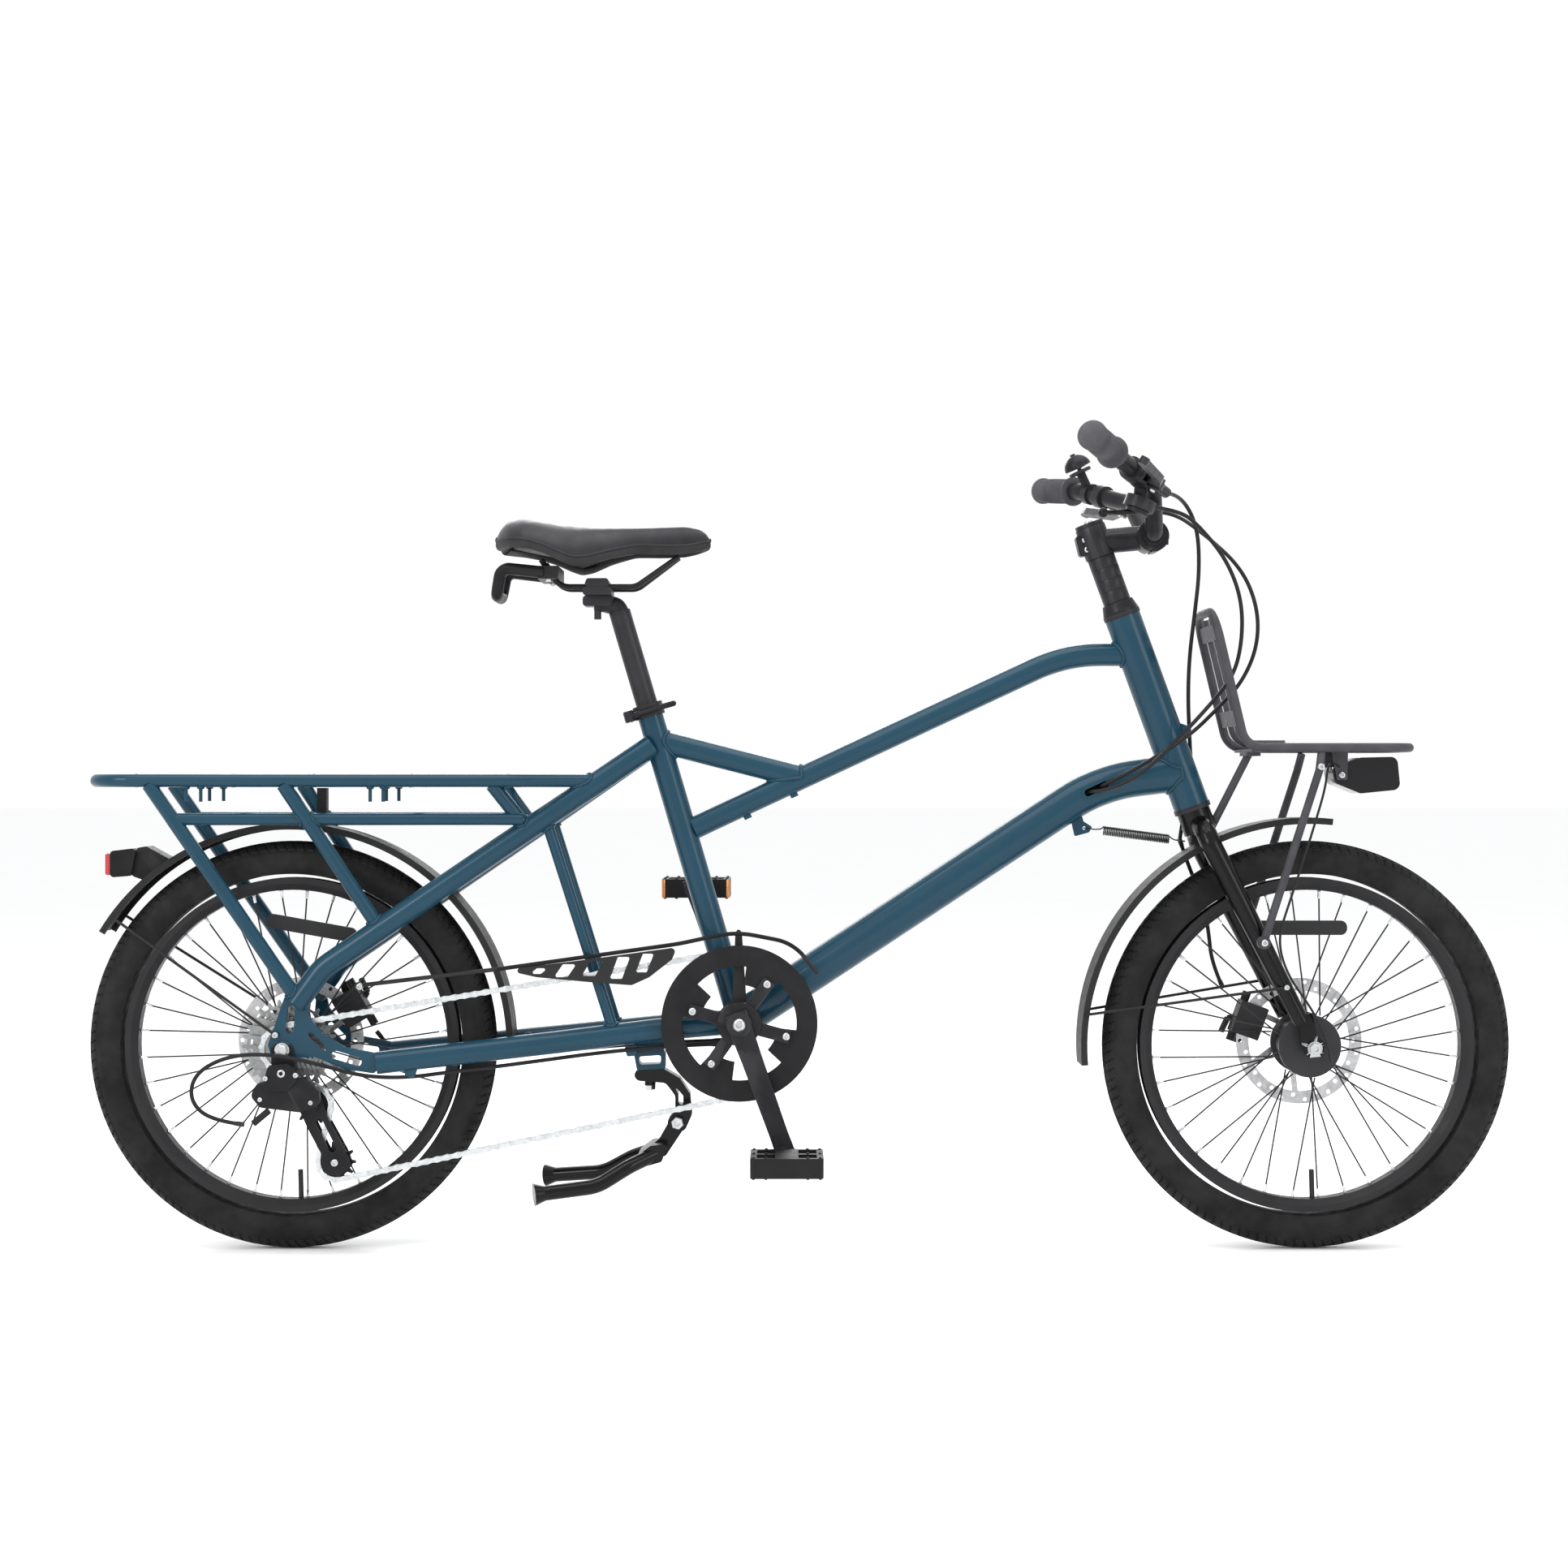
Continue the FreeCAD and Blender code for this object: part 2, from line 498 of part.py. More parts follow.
def rear_mudguard():
    """Rear blade, its wire stay and its two fixing tabs."""
    blade = mudguard(REAR_AXLE, 276, 2, 149)
    tabs = [block(V(-366, -8, 262), V(-345.5, 8, 266)), block(V(-606, -8, 534), V(-594, 8, 578))]
    tabs = [less(t, blade, rod(V(-345, -60, 258), V(-345, 60, 258), 7.0), RACK_CROSS) for t in tabs]
    solids = [blade] + [max(t.Solids, key=lambda s: s.Volume) for t in tabs]
    for side in (LEFT, RIGHT):
        edge = point_on(REAR_AXLE, 272, 144, 31.2 * side)
        solids.append(rod(V(-645, 76 * side, 274), edge, 1.8))
    return solids


def tail_lamp():
    """Tail lamp housing and lens on a wedge-shaped foot that sits on the rear mudguard."""
    body = outline([(-829, 503), (-862, 499), (-862, 466), (-836, 468)], 5, -24, 24)
    lens = outline([(-862.2, 497), (-868, 495), (-868, 470), (-862.2, 468)], 2, -23, 23)
    foot = outline([(-829.2, 503), (-818, 505), (-776, 482), (-800, 455), (-836, 467.8)], 4, -18, 18)
    foot = less(foot, body, disc(REAR_AXLE, 278.2, -40, 40))
    return [body, lens, max(foot.Solids, key=lambda s: s.Volume)]


def chain_guard():
    """Curved strip above the chain with a pierced plate at its side, on a strap from the bottom bracket."""
    line = [V(-545, -61, 334), V(-372, -56, 354), V(-150, -53, 385), V(-80, -52, 400), V(-8, -52, 386),
            V(22, -52, 348)]
    strip = bar(line, 2.6, [400, 300, 120, 60])
    plate = outline([(-366, 353), (-262, 366), (-152, 381), (-158, 366), (-186, 344), (-208, 334), (-262, 338),
                     (-326, 344)], 5, -57.8, -56.3)
    holes = []
    for x, w, top, low in ((-325, 9, 355, 348), (-293, 11, 360, 344), (-259, 11, 364, 345), (-225, 10, 369, 342),
                           (-194, 9, 373, 350)):
        holes.append(outline([(x - w, low), (x + w * 0.5, low), (x + w * 1.5, top), (x, top)], 2, -60, -50))
    plate = less(plate, *holes)
    strap = outline([(-84, 309), (-66, 309), (-72, 400), (-80, 400)], 3, -41, -38.6)
    strap = strap.cut(disc(BB, 22, -45, -30))
    ring = disc(BB, 28, -41, -38.6, 9.5)
    arm = rod(V(-76, -38.8, 399), V(-76, -50.5, 399), 3.0)
    front = strap.fuse([ring, arm, strip, plate])
    tab = rod(V(-545, -58, 334), V(-545, -67, 334), 4.5)
    return front.fuse(tab)


def caliper(centre, turn):
    """Cable disc caliper round the rotor's edge: (body, arm) about its own centre, before turning."""
    y = centre.y
    body = block(V(-16, y - 12, -21), V(20, y + 20, 21))
    body = body.fuse(Part.makeCylinder(17, 14, V(0, y + 17, 0), Y_AXIS))
    body = body.cut(block(V(-60, y - 2.2, -22), V(15, y + 2.2, 22)))
    body = body.fuse(rod(V(14, y + 9, -33), V(14, y + 9, 33), 5.5)).cut(block(V(-60, y - 2.2, -22), V(15, y + 2.2, 22)))
    arm = outline([(-13, -9), (13, -9), (13, 8), (7, 34), (-3, 34), (-12, 8)], 5, y + 31.4, y + 36)
    stop = rod(V(24, y + 31, 26), V(24, y + 22, 8), 4.0).fuse(rod(V(24, y + 22, 8), V(12, y + 20, 0), 4.0))
    solids = []
    for shape in (body.fuse(stop), arm):
        shape = shape.copy()
        shape.rotate(V(0, 0, 0), Y_AXIS, turn)
        shape.translate(V(centre.x, 0, centre.z))
        solids.append(shape)
    return solids


REAR_CALIPER, FRONT_CALIPER = V(-572, REAR_ROTOR_Y, 297), V(574, FRONT_ROTOR_Y, 282)
REAR_CALIPER_TURN, FRONT_CALIPER_TURN = -30.0, 200.0


# ---- chain and chain wheels -----------------------------------------------------------------------
def toothed(teeth, centre, y, thick, hole):
    """Chain wheel with trapezoid teeth."""
    r = pitch_r(teeth)
    points = []
    for i in range(teeth):
        for part, radius in ((-0.26, r - 3.6), (-0.1, r + 2.4), (0.1, r + 2.4), (0.26, r - 3.6)):
            a = 2 * math.pi * (i + part) / teeth
            points.append(V(centre.x + radius * math.cos(a), y - thick / 2, centre.z + radius * math.sin(a)))
    wheel = Part.Face(Part.makePolygon([*points, points[0]])).extrude(V(0, thick, 0))
    return wheel.cut(disc(centre, hole, y - thick, y + thick))


def tangent(a, ra, b, rb):
    """Belt tangent between two circles in X-Z. Radii are signed: positive keeps the circle on the right."""
    d = V(b.x - a.x, 0, b.z - a.z)
    length = d.Length
    d.normalize()
    side = V(-d.z, 0, d.x)
    s = (ra - rb) / length
    c = math.sqrt(1 - s * s)
    normal = d * s + side * c
    return V(a.x, a.y, a.z) + normal * ra, V(b.x, b.y, b.z) + normal * rb


def chain_wraps():
    """The chain's route: (centre, signed radius) of each wheel in the order the chain meets them."""
    ring = V(BB.x, CHAINRING_Y, BB.z)
    cog = V(REAR_AXLE.x, SPROCKET_Y, REAR_AXLE.z)
    small = pitch_r(PULLEY_T)
    return [(cog, pitch_r(SPROCKETS[0])), (ring, pitch_r(CHAINRING_T)), (TENSION_PULLEY, small),
            (GUIDE_PULLEY, -small)]


def strip_run(p, q, y_p, y_q, half, thick):
    """Straight piece of one side-plate row, from p to q."""
    along = V(q.x - p.x, 0, q.z - p.z).normalize()
    side = V(-along.z, 0, along.x) * half
    rings = []
    for point, y in ((p, y_p), (q, y_q)):
        corners = [V(point.x, y, point.z) + side, V(point.x, y + thick, point.z) + side,
                   V(point.x, y + thick, point.z) - side, V(point.x, y, point.z) - side]
        rings.append(Part.makePolygon([*corners, corners[0]]))
    return Part.makeLoft(rings, True, True)


def chain():
    """Endless chain as two rows of side plates, tied by its rollers along the free runs."""
    wraps, rows, rollers = chain_wraps(), [], []
    n = len(wraps)
    runs = [tangent(*wraps[i], *wraps[(i + 1) % n]) for i in range(n)]
    for offset in (2.2, -3.2):
        pieces = []
        for i in range(n):
            p, q = runs[i]
            pieces.append(strip_run(p, q, p.y + offset, q.y + offset, 3.8, 1.0))
            centre, r = wraps[(i + 1) % n]
            start, end = q, runs[(i + 1) % n][0]
            a0 = math.degrees(math.atan2(start.z - centre.z, start.x - centre.x))
            a1 = math.degrees(math.atan2(end.z - centre.z, end.x - centre.x))
            if r > 0:
                a0, a1 = a1, a0
            while a1 <= a0:
                a1 += 360
            pieces.append(arc_band(centre, abs(r) - 3.8, abs(r) + 3.8, a0, a1, 1.0, centre.y + offset + 0.5))
        rows.append(pieces[0].fuse(pieces[1:]).removeSplitter())
    for p, q in (runs[0], runs[1]):
        count = int((q - p).Length / (2 * CHAIN_PITCH))
        for k in range(3, count - 2):
            spot = p + (q - p) * (k / count)
            rollers.append(disc(spot, 2.4, spot.y - 2.4, spot.y + 2.4))
    return rows[0].fuse([rows[1], *rollers])


def freewheel():
    """Seven sprockets on the freewheel body."""
    solids = []
    outer = SPROCKET_Y - 2.5
    body = disc(REAR_AXLE, 21.0, outer, SPROCKET_Y + 6 * SPROCKET_STEP + 2.5, 17.5)
    for i, teeth in enumerate(SPROCKETS):
        y = SPROCKET_Y + i * SPROCKET_STEP
        wheel = toothed(teeth, REAR_AXLE, y, 1.9, 18.5)
        if teeth >= 22:
            r = (pitch_r(teeth) - 4 + 21) / 2
            size = (pitch_r(teeth) - 4 - 21) / 2 - 2.5
            holes = [disc(point_on(REAR_AXLE, r, 60 * k, 0), size, y - 2, y + 2) for k in range(6)]
            wheel = less(wheel, *holes)
        body = body.fuse(wheel)
    solids.append(body.removeSplitter())
    return solids


def chainring():
    """Chainring with its two-sided guard disc, bolted to the spider."""
    ring = toothed(CHAINRING_T, BB, CHAINRING_Y, 1.7, 48)
    guard = disc(BB, 97.0, -52.2, -50.0, 48)
    spacer = disc(BB, 79.0, -50.0, CHAINRING_Y, 72)
    cuts = []
    for k in range(4):
        middle = CRANK_ANGLE + 90 * k
        lo, hi = middle - 27, middle + 27
        cuts.append(arc_band(BB, 46, 71, lo, hi, 12, -48))
    return [less(ring.fuse([guard, spacer]).removeSplitter(), *cuts)]


def crank_arm(side, direction):
    """Crank arm from the bottom bracket to its pedal hole, leaning outwards."""
    end = BB + direction * CRANK_LEN
    lean = [V(BB.x, side * 61, BB.z), V(end.x, side * 70, end.z)]
    across = V(-direction.z, 0, direction.x)
    rings = []
    for point, half, thick in ((lean[0] - direction * 15, 15, 8), (lean[0] + direction * 45, 13, 7.5),
                               (lean[1] - direction * 30, 11.5, 6.2), (lean[1] + direction * 14, 12.5, 6.5)):
        corners = [point + across * half - Y_AXIS * thick, point + across * half + Y_AXIS * thick,
                   point - across * half + Y_AXIS * thick, point - across * half - Y_AXIS * thick]
        rings.append(Part.makePolygon([*corners, corners[0]]))
    arm = Part.makeLoft(rings, True, True)
    boss = disc(end, 13.5, side * 63.4, side * 77)
    return arm.fuse(boss)


def crankset():
    """Spindle, two arms and the four-legged spider in one piece."""
    right, left = crank_arm(RIGHT, CRANK_DIR), crank_arm(LEFT, CRANK_DIR * -1)
    spindle = disc(BB, 8.0, -62, 62).fuse([disc(BB, 15.5, -69, -52), disc(BB, 15.5, 52, 69)])
    legs = []
    for k in (55, 125, 235, 305):
        leg = block(V(0, -57, -8), V(65, -52.4, 8))
        leg.rotate(V(0, 0, 0), Y_AXIS, -(CRANK_ANGLE + k))
        leg.translate(V(BB.x, 0, BB.z))
        legs.append(leg)
    hub = disc(BB, 27, -60, -52.4)
    body = spindle.fuse([right, left, hub, *legs])
    for side, direction in ((RIGHT, CRANK_DIR), (LEFT, CRANK_DIR * -1)):
        eye = disc(BB + direction * CRANK_LEN, 6.0, side * 60, side * 80)
        body = body.cut(eye)
    return body.removeSplitter()


def pedal(side, direction):
    """Platform pedal: cage, core, reflectors and its end of the axle."""
    at = BB + direction * CRANK_LEN
    y0, y1 = side * PEDAL_Y, side * (PEDAL_Y + 86)
    lo, hi = min(y0, y1), max(y0, y1)
    cage = block(V(at.x - 44, lo, at.z - 12), V(at.x + 44, hi, at.z + 12))
    cage = cage.makeFillet(5, [e for e in cage.Edges if abs(e.tangentAt(0).z) > 0.9])
    mid = (lo + hi) / 2
    windows = []
    for x0, x1 in ((-36, -14), (14, 36)):
        windows.append(block(V(at.x + x0, lo + 9, at.z - 14), V(at.x + x1, mid - 5, at.z + 14)))
        windows.append(block(V(at.x + x0, mid + 5, at.z - 14), V(at.x + x1, hi - 9, at.z + 14)))
        edge = -50 if x0 < 0 else 39
        windows.append(block(V(at.x + edge, mid - 26, at.z - 7.5), V(at.x + edge + 11, mid + 26, at.z + 7.5)))
    cage = less(cage, *windows)
    stub = disc(at, 7.5, side * 79, y0).fuse(disc(at, 5.95, side * 63.6, side * 79))
    lamps = [block(V(at.x + x, mid - 24.5, at.z - 7), V(at.x + x + 3.6, mid + 24.5, at.z + 7)) for x in (-43.4, 39.8)]
    return [cage.fuse(stub), *lamps]


# ---- derailleur -----------------------------------------------------------------------------------
def derailleur_body():
    """Hanger plate under the axle, mounting bolt, parallelogram body and the cage's pivot housing."""
    plate = outline([(-650, 262), (-624, 262), (-620, 240), (-627, 218), (-645, 218), (-650, 240)], 5, -76.6, -73.8)
    plate = plate.cut(disc(REAR_AXLE, 9.3, -80, -70))
    bolt = disc(V(-636, 0, 228), 6.5, -84, -76.6)
    knuckle = outline([(-652, 238), (-626, 240), (-614, 222), (-628, 206), (-660, 206)], 7, -88, -76.8)
    link = outline([(-666, 216), (-608, 222), (-590, 206), (-588, 190), (-612, 180), (-662, 186), (-674, 200)], 8,
                   -86, -74)
    stop = rod(V(-652, -81, 182), V(-671, -81, 166), 4.2)
    body = knuckle.fuse([link, bolt, stop]).cut(plate)
    return [plate, body.cut(disc(CAGE_PIVOT, 8.4 + FIT, -76.4, -70)).removeSplitter()]


CAGE_PIVOT = V(-601, 0, 187)


def derailleur_cage():
    """Two cage plates, the spacer sleeves and both pulley bolts."""
    shape = [(-613, 199), (-590, 199), (-582, 172), (-560, 132), (-552, 112), (-568, 98), (-588, 104),
             (-590, 128), (-606, 158), (-616, 180)]
    outer = outline(shape, 8, SPROCKET_Y - 9.2, SPROCKET_Y - 7.0)
    inner = outline(shape, 8, SPROCKET_Y + 7.0, SPROCKET_Y + 9.2)
    slot = slot_cut((-592, 166), (-576, 134), 4.5, SPROCKET_Y - 12, SPROCKET_Y + 12)
    pins = [disc(p, 3.0, SPROCKET_Y - 9.2, SPROCKET_Y + 9.2) for p in (GUIDE_PULLEY, TENSION_PULLEY)]
    spindle = disc(CAGE_PIVOT, 8.4, SPROCKET_Y - 14.4, SPROCKET_Y - 9.2)
    return less(outer.fuse([inner, *pins, spindle]), slot)


def pulley(at):
    """Eleven-tooth guide wheel with a broad hub."""
    wheel = toothed(PULLEY_T, at, at.y, 2.2, 3.0 + FIT)
    hub = disc(at, 8.5, at.y - 6.2, at.y + 6.2, 3.0 + FIT)
    return wheel.fuse(hub)


# ---- wheels ---------------------------------------------------------------------------------------
def tyre(centre):
    """Tyre casing, open towards the rim."""
    mid_r, r = TYRE_R - TYRE_W / 2, TYRE_W / 2
    ring = Part.makeTorus(mid_r, r, centre, Y_AXIS).cut(Part.makeTorus(mid_r - 0.8, r - 3.4, centre, Y_AXIS))
    return ring.cut(disc(centre, RIM_OUT + 0.3, -30, 30))


def rim(centre):
    """Double-wall rim, its valve and the wheel reflector's two clips."""
    w = RIM_W / 2
    profile = [(RIM_OUT, -w), (RIM_OUT, 2 - w), (203, 3 - w), (201, -7), (201, 7), (203, w - 3), (RIM_OUT, w - 2),
               (RIM_OUT, w), (202, w + 0.5), (RIM_IN, 9), (RIM_IN, -9), (202, -w - 0.5)]
    body = turned(profile, centre)
    stem = rod(V(centre.x + 9, 0, centre.z - RIM_IN - 1), V(centre.x + 8, 0, centre.z - 158), 3.2)
    return [body, stem.cut(body)]


def hub_shell(centre, y_in, y_out, r_body, r_flange, rotor_y, bore):
    """Hub shell with two spoke flanges and the rotor's seat, and the rotor on it."""
    profile = [(bore, y_in - 4), (r_flange, y_in - 4), (r_flange, y_in), (r_body, y_in + 3), (r_body, y_out - 3),
               (r_flange, y_out), (r_flange, y_out + 3), (21, y_out + 4), (21, rotor_y - 1.1), (bore, rotor_y - 1.1)]
    shell = turned(profile, centre)
    plate = disc(centre, ROTOR_R, rotor_y - 1.0, rotor_y + 0.9, 64)
    holes = []
    for k in range(30):
        holes.append(disc(point_on(centre, 75 if k % 2 else 69, 12 * k, 0), 2.6, rotor_y - 3, rotor_y + 3))
    inner = disc(centre, 23, rotor_y - 1.0, rotor_y + 0.9, bore + 0.5)
    arms = []
    for k in range(6):
        p = point_on(centre, 20, 60 * k, rotor_y - 1.0)
        q = point_on(centre, 66, 60 * k + 26, rotor_y - 1.0)
        along = (q - p).normalize()
        side = V(-along.z, 0, along.x) * 3.5
        face = Part.Face(Part.makePolygon([p + side, q + side, q - side, p - side, p + side]))
        arms.append(face.extrude(V(0, 1.9, 0)))
    rotor = less(plate, *holes).fuse([inner, *arms])
    return [shell, rotor.cut(disc(centre, bore + 0.5, -90, 90))]


def spokes(centre, y_a, y_b, r_flange, cross):
    """Crossed spokes from two flanges to the rim, each stopping at the surfaces it meets."""
    solids = []
    for k in range(SPOKES):
        side = k % 2
        lean = cross if (k // 2) % 2 else -cross
        y = (y_b if side else y_a) + (0.0 if lean > 0 else 0.8)
        angle = 360.0 * k / SPOKES + 5
        low = point_on(centre, r_flange + 0.9, angle + lean, y)
        high = point_on(centre, RIM_IN - 0.4, angle, 3.0 if side else -3.0)
        solids.append(rod(low, high, 1.0))
    tilt = math.degrees(math.atan2(146, 26))
    plate = outline([(-57, -9), (57, -9), (57, 9), (-57, 9)], 8, -2.5, 2.5)
    plate.rotate(V(0, 0, 0), Y_AXIS, 0 if centre.x > 0 else 90 - tilt)
    plate.translate(centre + V(-8 if centre.x > 0 else 26, -17 if centre.x > 0 else -22, 147))
    return solids, plate


def wheel_bearings(centre, half, out):
    """Axle with its end nuts, held in the dropouts."""
    axle = disc(centre, AXLE_R, -half, half)
    nuts = [disc(centre, 9.0, s * out, s * (out + 8)) for s in (LEFT, RIGHT)]
    return axle.fuse(nuts).removeSplitter()


# ---- stand ----------------------------------------------------------------------------------------
def stand_bracket():
    """Curved casting under the frame that carries the stand's pivot bolt."""
    arm = outline([(-208, 223.6), (-170, 225.6), (-150, 214), (-137, 194), (-135, 168), (-144, 148), (-158, 146),
                   (-168, 158), (-156, 174), (-156, 192), (-168, 208), (-206, 211)], 9, -13, 13)
    arm = less(arm, block(V(-175, -8, 138), V(-125, 8, 176)), disc(STAND_PIVOT, 5 + FIT, -20, 20))
    arm = arm.cut(outline([(-158, 206), (-146, 192), (-146, 180), (-152, 182), (-152, 194)], 2, -20, 20))
    bolt = rod(V(-188, 0, 211), V(-188, 0, 204), 7)
    return arm.fuse(bolt)


def stand():
    """Double-leg stand: centre yoke on the pivot bolt and two splayed legs with flared feet."""
    pivot = disc(STAND_PIVOT, 5.0, -19, 19).fuse([disc(STAND_PIVOT, 8, -19, -13.4), disc(STAND_PIVOT, 8, 13.4, 19)])
    tongue = outline([(-160, 166), (-146, 166), (-144, 152), (-168, 116), (-190, 110), (-194, 122), (-176, 138)], 5,
                     -7.6, 7.6)
    yoke = outline([(-164, 135), (-172, 112), (-200, 104), (-203, 120), (-186, 132)], 5, -34, 34)
    yoke = yoke.cut(STAND_CLEAR)
    legs = []
    for side in (LEFT, RIGHT):
        path = [V(-178, 24 * side, 122), V(-212, 46 * side, 108), V(-250, 62 * side, 86), V(-322, 80 * side, 79)]
        legs.append(bar(path, 9.2, [60, 60]))
        foot = Part.makeCone(9.4, 14.0, 13, V(-314, 78 * side, 79.8), V(-72, 18 * side, -7))
        legs.append(foot)
    return pivot.fuse([tongue, yoke, *legs])


STAND_CLEAR = disc(STAND_PIVOT, 26, -13.6, -9).fuse(disc(STAND_PIVOT, 26, 9, 13.6))


# ---- fork, stem and bars --------------------------------------------------------------------------
BLADE_TOP, BLADE_LOW = V(510, 48, 508), V(628, 56, 274)
STACK = 80.0  # height of the spacers above the head tube
STEM_MID = HEAD_TOP + STEER_UP * 100
BAR_MID = V(442, 0, 893.5)
BAR_R, GRIP_R, GRIP_END = 11.1, 16.5, 290.0
BAR_HALF_PATH = [V(442, 32, 893.5), V(430, 100, 946), V(375, 190, 972), V(336, 284, 983.3)]


def mirrored(p, side):
    """Point moved to one side of the centre plane."""
    return V(p.x, p.y * side, p.z)


def fork():
    """Steerer, crown, two straight blades, dropouts and the bosses for the carrier and mudguard."""
    steerer = rod(HEAD_LOW - STEER_UP * 20, HEAD_TOP + STEER_UP * (STACK + 38), STEERER_R)
    crown = rod(HEAD_LOW - STEER_UP * 6.4, HEAD_LOW - STEER_UP * 34, 21)
    parts = [crown]
    for side in (LEFT, RIGHT):
        top, low = mirrored(BLADE_TOP, side), mirrored(BLADE_LOW, side)
        parts.append(bar([HEAD_LOW - STEER_UP * 20, V(505, 40 * side, 523), top, top + (low - top) * 0.25], 13, 16))
        parts.append(Part.makeCone(13, 10, (low - top).Length * 0.74, top + (low - top) * 0.2, low - top))
        lo, hi = sorted((side * FRONT_OLD / 2, side * (FRONT_OLD / 2 + 6)))
        plate = outline([(617, 296), (634, 300), (640, 272), (650, 262), (648, 246), (628, 244), (620, 262)], 4, lo, hi)
        parts.append(plate)
        boss_at = top + (low - top) * 0.515
        parts.append(disc(V(boss_at.x, 0, boss_at.z), 6.5, side * 60, side * 66))
    body = steerer.fuse(parts)
    cuts = [rod(HEAD_LOW - STEER_UP * 4, HEAD_TOP + STEER_UP * (STACK + 40), STEERER_R - 2.4)]
    for side in (LEFT, RIGHT):
        top, low = mirrored(BLADE_TOP, side), mirrored(BLADE_LOW, side)
        cuts.append(Part.makeCone(10.8, 7.8, (low - top).Length * 0.85, top + (low - top) * 0.02, low - top))
    cuts += [disc(FRONT_AXLE, AXLE_R + 0.02, -70, 70), rod(V(470, 0, 530), V(540, 0, 530), 3.0)]
    cuts += [disc(FRONT_AXLE, 10, s * (FRONT_OLD / 2 + 6.1), s * 70) for s in (LEFT, RIGHT)]
    return less(body, *cuts).removeSplitter()


def headset_spacers():
    """Cone and spacer rings on the steerer, between the head tube and the stem."""
    solids = [Part.makeCone(23, 19.5, 13, HEAD_TOP + STEER_UP * 6.4, STEER_UP)]
    heights = [19.6, 35.0, 50.0, 65.0, STACK]
    for low, high in zip(heights, heights[1:]):
        solids.append(rod(HEAD_TOP + STEER_UP * (low + 0.2), HEAD_TOP + STEER_UP * (high - 0.05), SPACER_R + 1.6))
    bore = rod(HEAD_TOP, HEAD_TOP + STEER_UP * 100, STEERER_R)
    return [s.cut(bore) for s in solids]


def stem():
    """Clamp on the steerer, arm and bar clamp with its cap, the bolts and the spacers below."""
    sleeve = rod(HEAD_TOP + STEER_UP * (STACK + 0.2), HEAD_TOP + STEER_UP * (STACK + 40), 19)
    arm = rod(STEM_MID, BAR_MID, 15.5)
    clamp = disc(BAR_MID, 20, -23, 23)
    ear = outline([(352, 868), (376, 872), (370, 898), (346, 894)], 4, -9, 9)
    body = sleeve.fuse([arm, clamp, ear]).removeSplitter()
    bore = rod(HEAD_TOP, HEAD_TOP + STEER_UP * (STACK + 39), STEERER_R)
    slit = block(V(438, -30, 860), V(441, 30, 930))
    slit = slit.cut(block(V(430, -30, 877), V(445, 30, 910)))
    body = less(body, bore, disc(BAR_MID, 12.8, -30, 30), slit)
    body = max(body.Solids, key=lambda s: s.Volume)
    cap = rod(HEAD_TOP + STEER_UP * (STACK + 40.2), HEAD_TOP + STEER_UP * (STACK + 45), 18)
    bolts = [rod(V(461 - 0.3, 14 * s, 893.5 + dz), V(466, 14 * s, 893.5 + dz), 3.4)
             for s in (LEFT, RIGHT) for dz in (-5, 5)]
    bolts = [b.cut(body) for b in bolts[:2]]
    return [body, cap, *bolts, *headset_spacers()]


def bar_solid(r):
    """The whole handlebar as a round bar."""
    path = [mirrored(p, RIGHT) for p in reversed(BAR_HALF_PATH)] + BAR_HALF_PATH
    return bar(path, r, [60, 60, 45, 45, 60, 60])


BAR_SOLID = bar_solid(BAR_R)


def handlebar():
    """Swept riser bar with a thicker middle."""
    return bar_solid(BAR_R).fuse(disc(BAR_MID, 12.8, -30, 30)).cut(bar_solid(BAR_R - 2)).removeSplitter()


def grips():
    """Two rubber grips with end caps."""
    solids = []
    for side in (LEFT, RIGHT):
        a, b = mirrored(BAR_HALF_PATH[2], side), mirrored(BAR_HALF_PATH[3], side)
        run = (b - a).normalize()
        end = a + run * ((GRIP_END - 190) / abs(run.y))
        sleeve = rod(a + run * 18, end, GRIP_R)
        sleeve = sleeve.fuse([rod(a + run * 18, a + run * 22, GRIP_R + 3), rod(end - run * 3, end, GRIP_R + 1.5)])
        sleeve = sleeve.common(block(V(200, -GRIP_END, 900), V(500, GRIP_END, 1100)))
        solids.append(sleeve.cut(rod(a, b, BAR_R)))
    return solids


LEVER_OUT = V(0.86, 0, -0.51)  # from the bar towards the brake lever's pivot


def bar_point(y):
    """Point on the bar's centre line at Y, on its outer straight runs."""
    side = 1 if y > 0 else -1
    a, b = (BAR_HALF_PATH[1], BAR_HALF_PATH[2]) if abs(y) < 190 else (BAR_HALF_PATH[2], BAR_HALF_PATH[3])
    return mirrored(a + (b - a) * ((abs(y) - a.y) / (b.y - a.y)), side)


def bar_run(side):
    """Direction of the bar outwards, where the levers are clamped."""
    a, b = mirrored(BAR_HALF_PATH[1], side), mirrored(BAR_HALF_PATH[2], side)
    return (b - a).normalize()


def lever_frame(side):
    """Pivot point and axis of a brake lever. Turning forwards about the axis pulls the lever in."""
    run = bar_run(side)
    pivot = bar_point(150.0 * side) + LEVER_OUT * 33
    axis = LEVER_OUT.cross(run).normalize() * side
    return pivot, axis


LEVER_PROFILE = (  # along the bar from the pivot, and outwards from the bar
    (-8, -8), (8, -8), (30, 9), (62, 28), (128, 40), (141, 46), (145, 54), (138, 57), (126, 51), (60, 39), (26, 21),
    (4, 9), (-14, 5), (-17, -4))


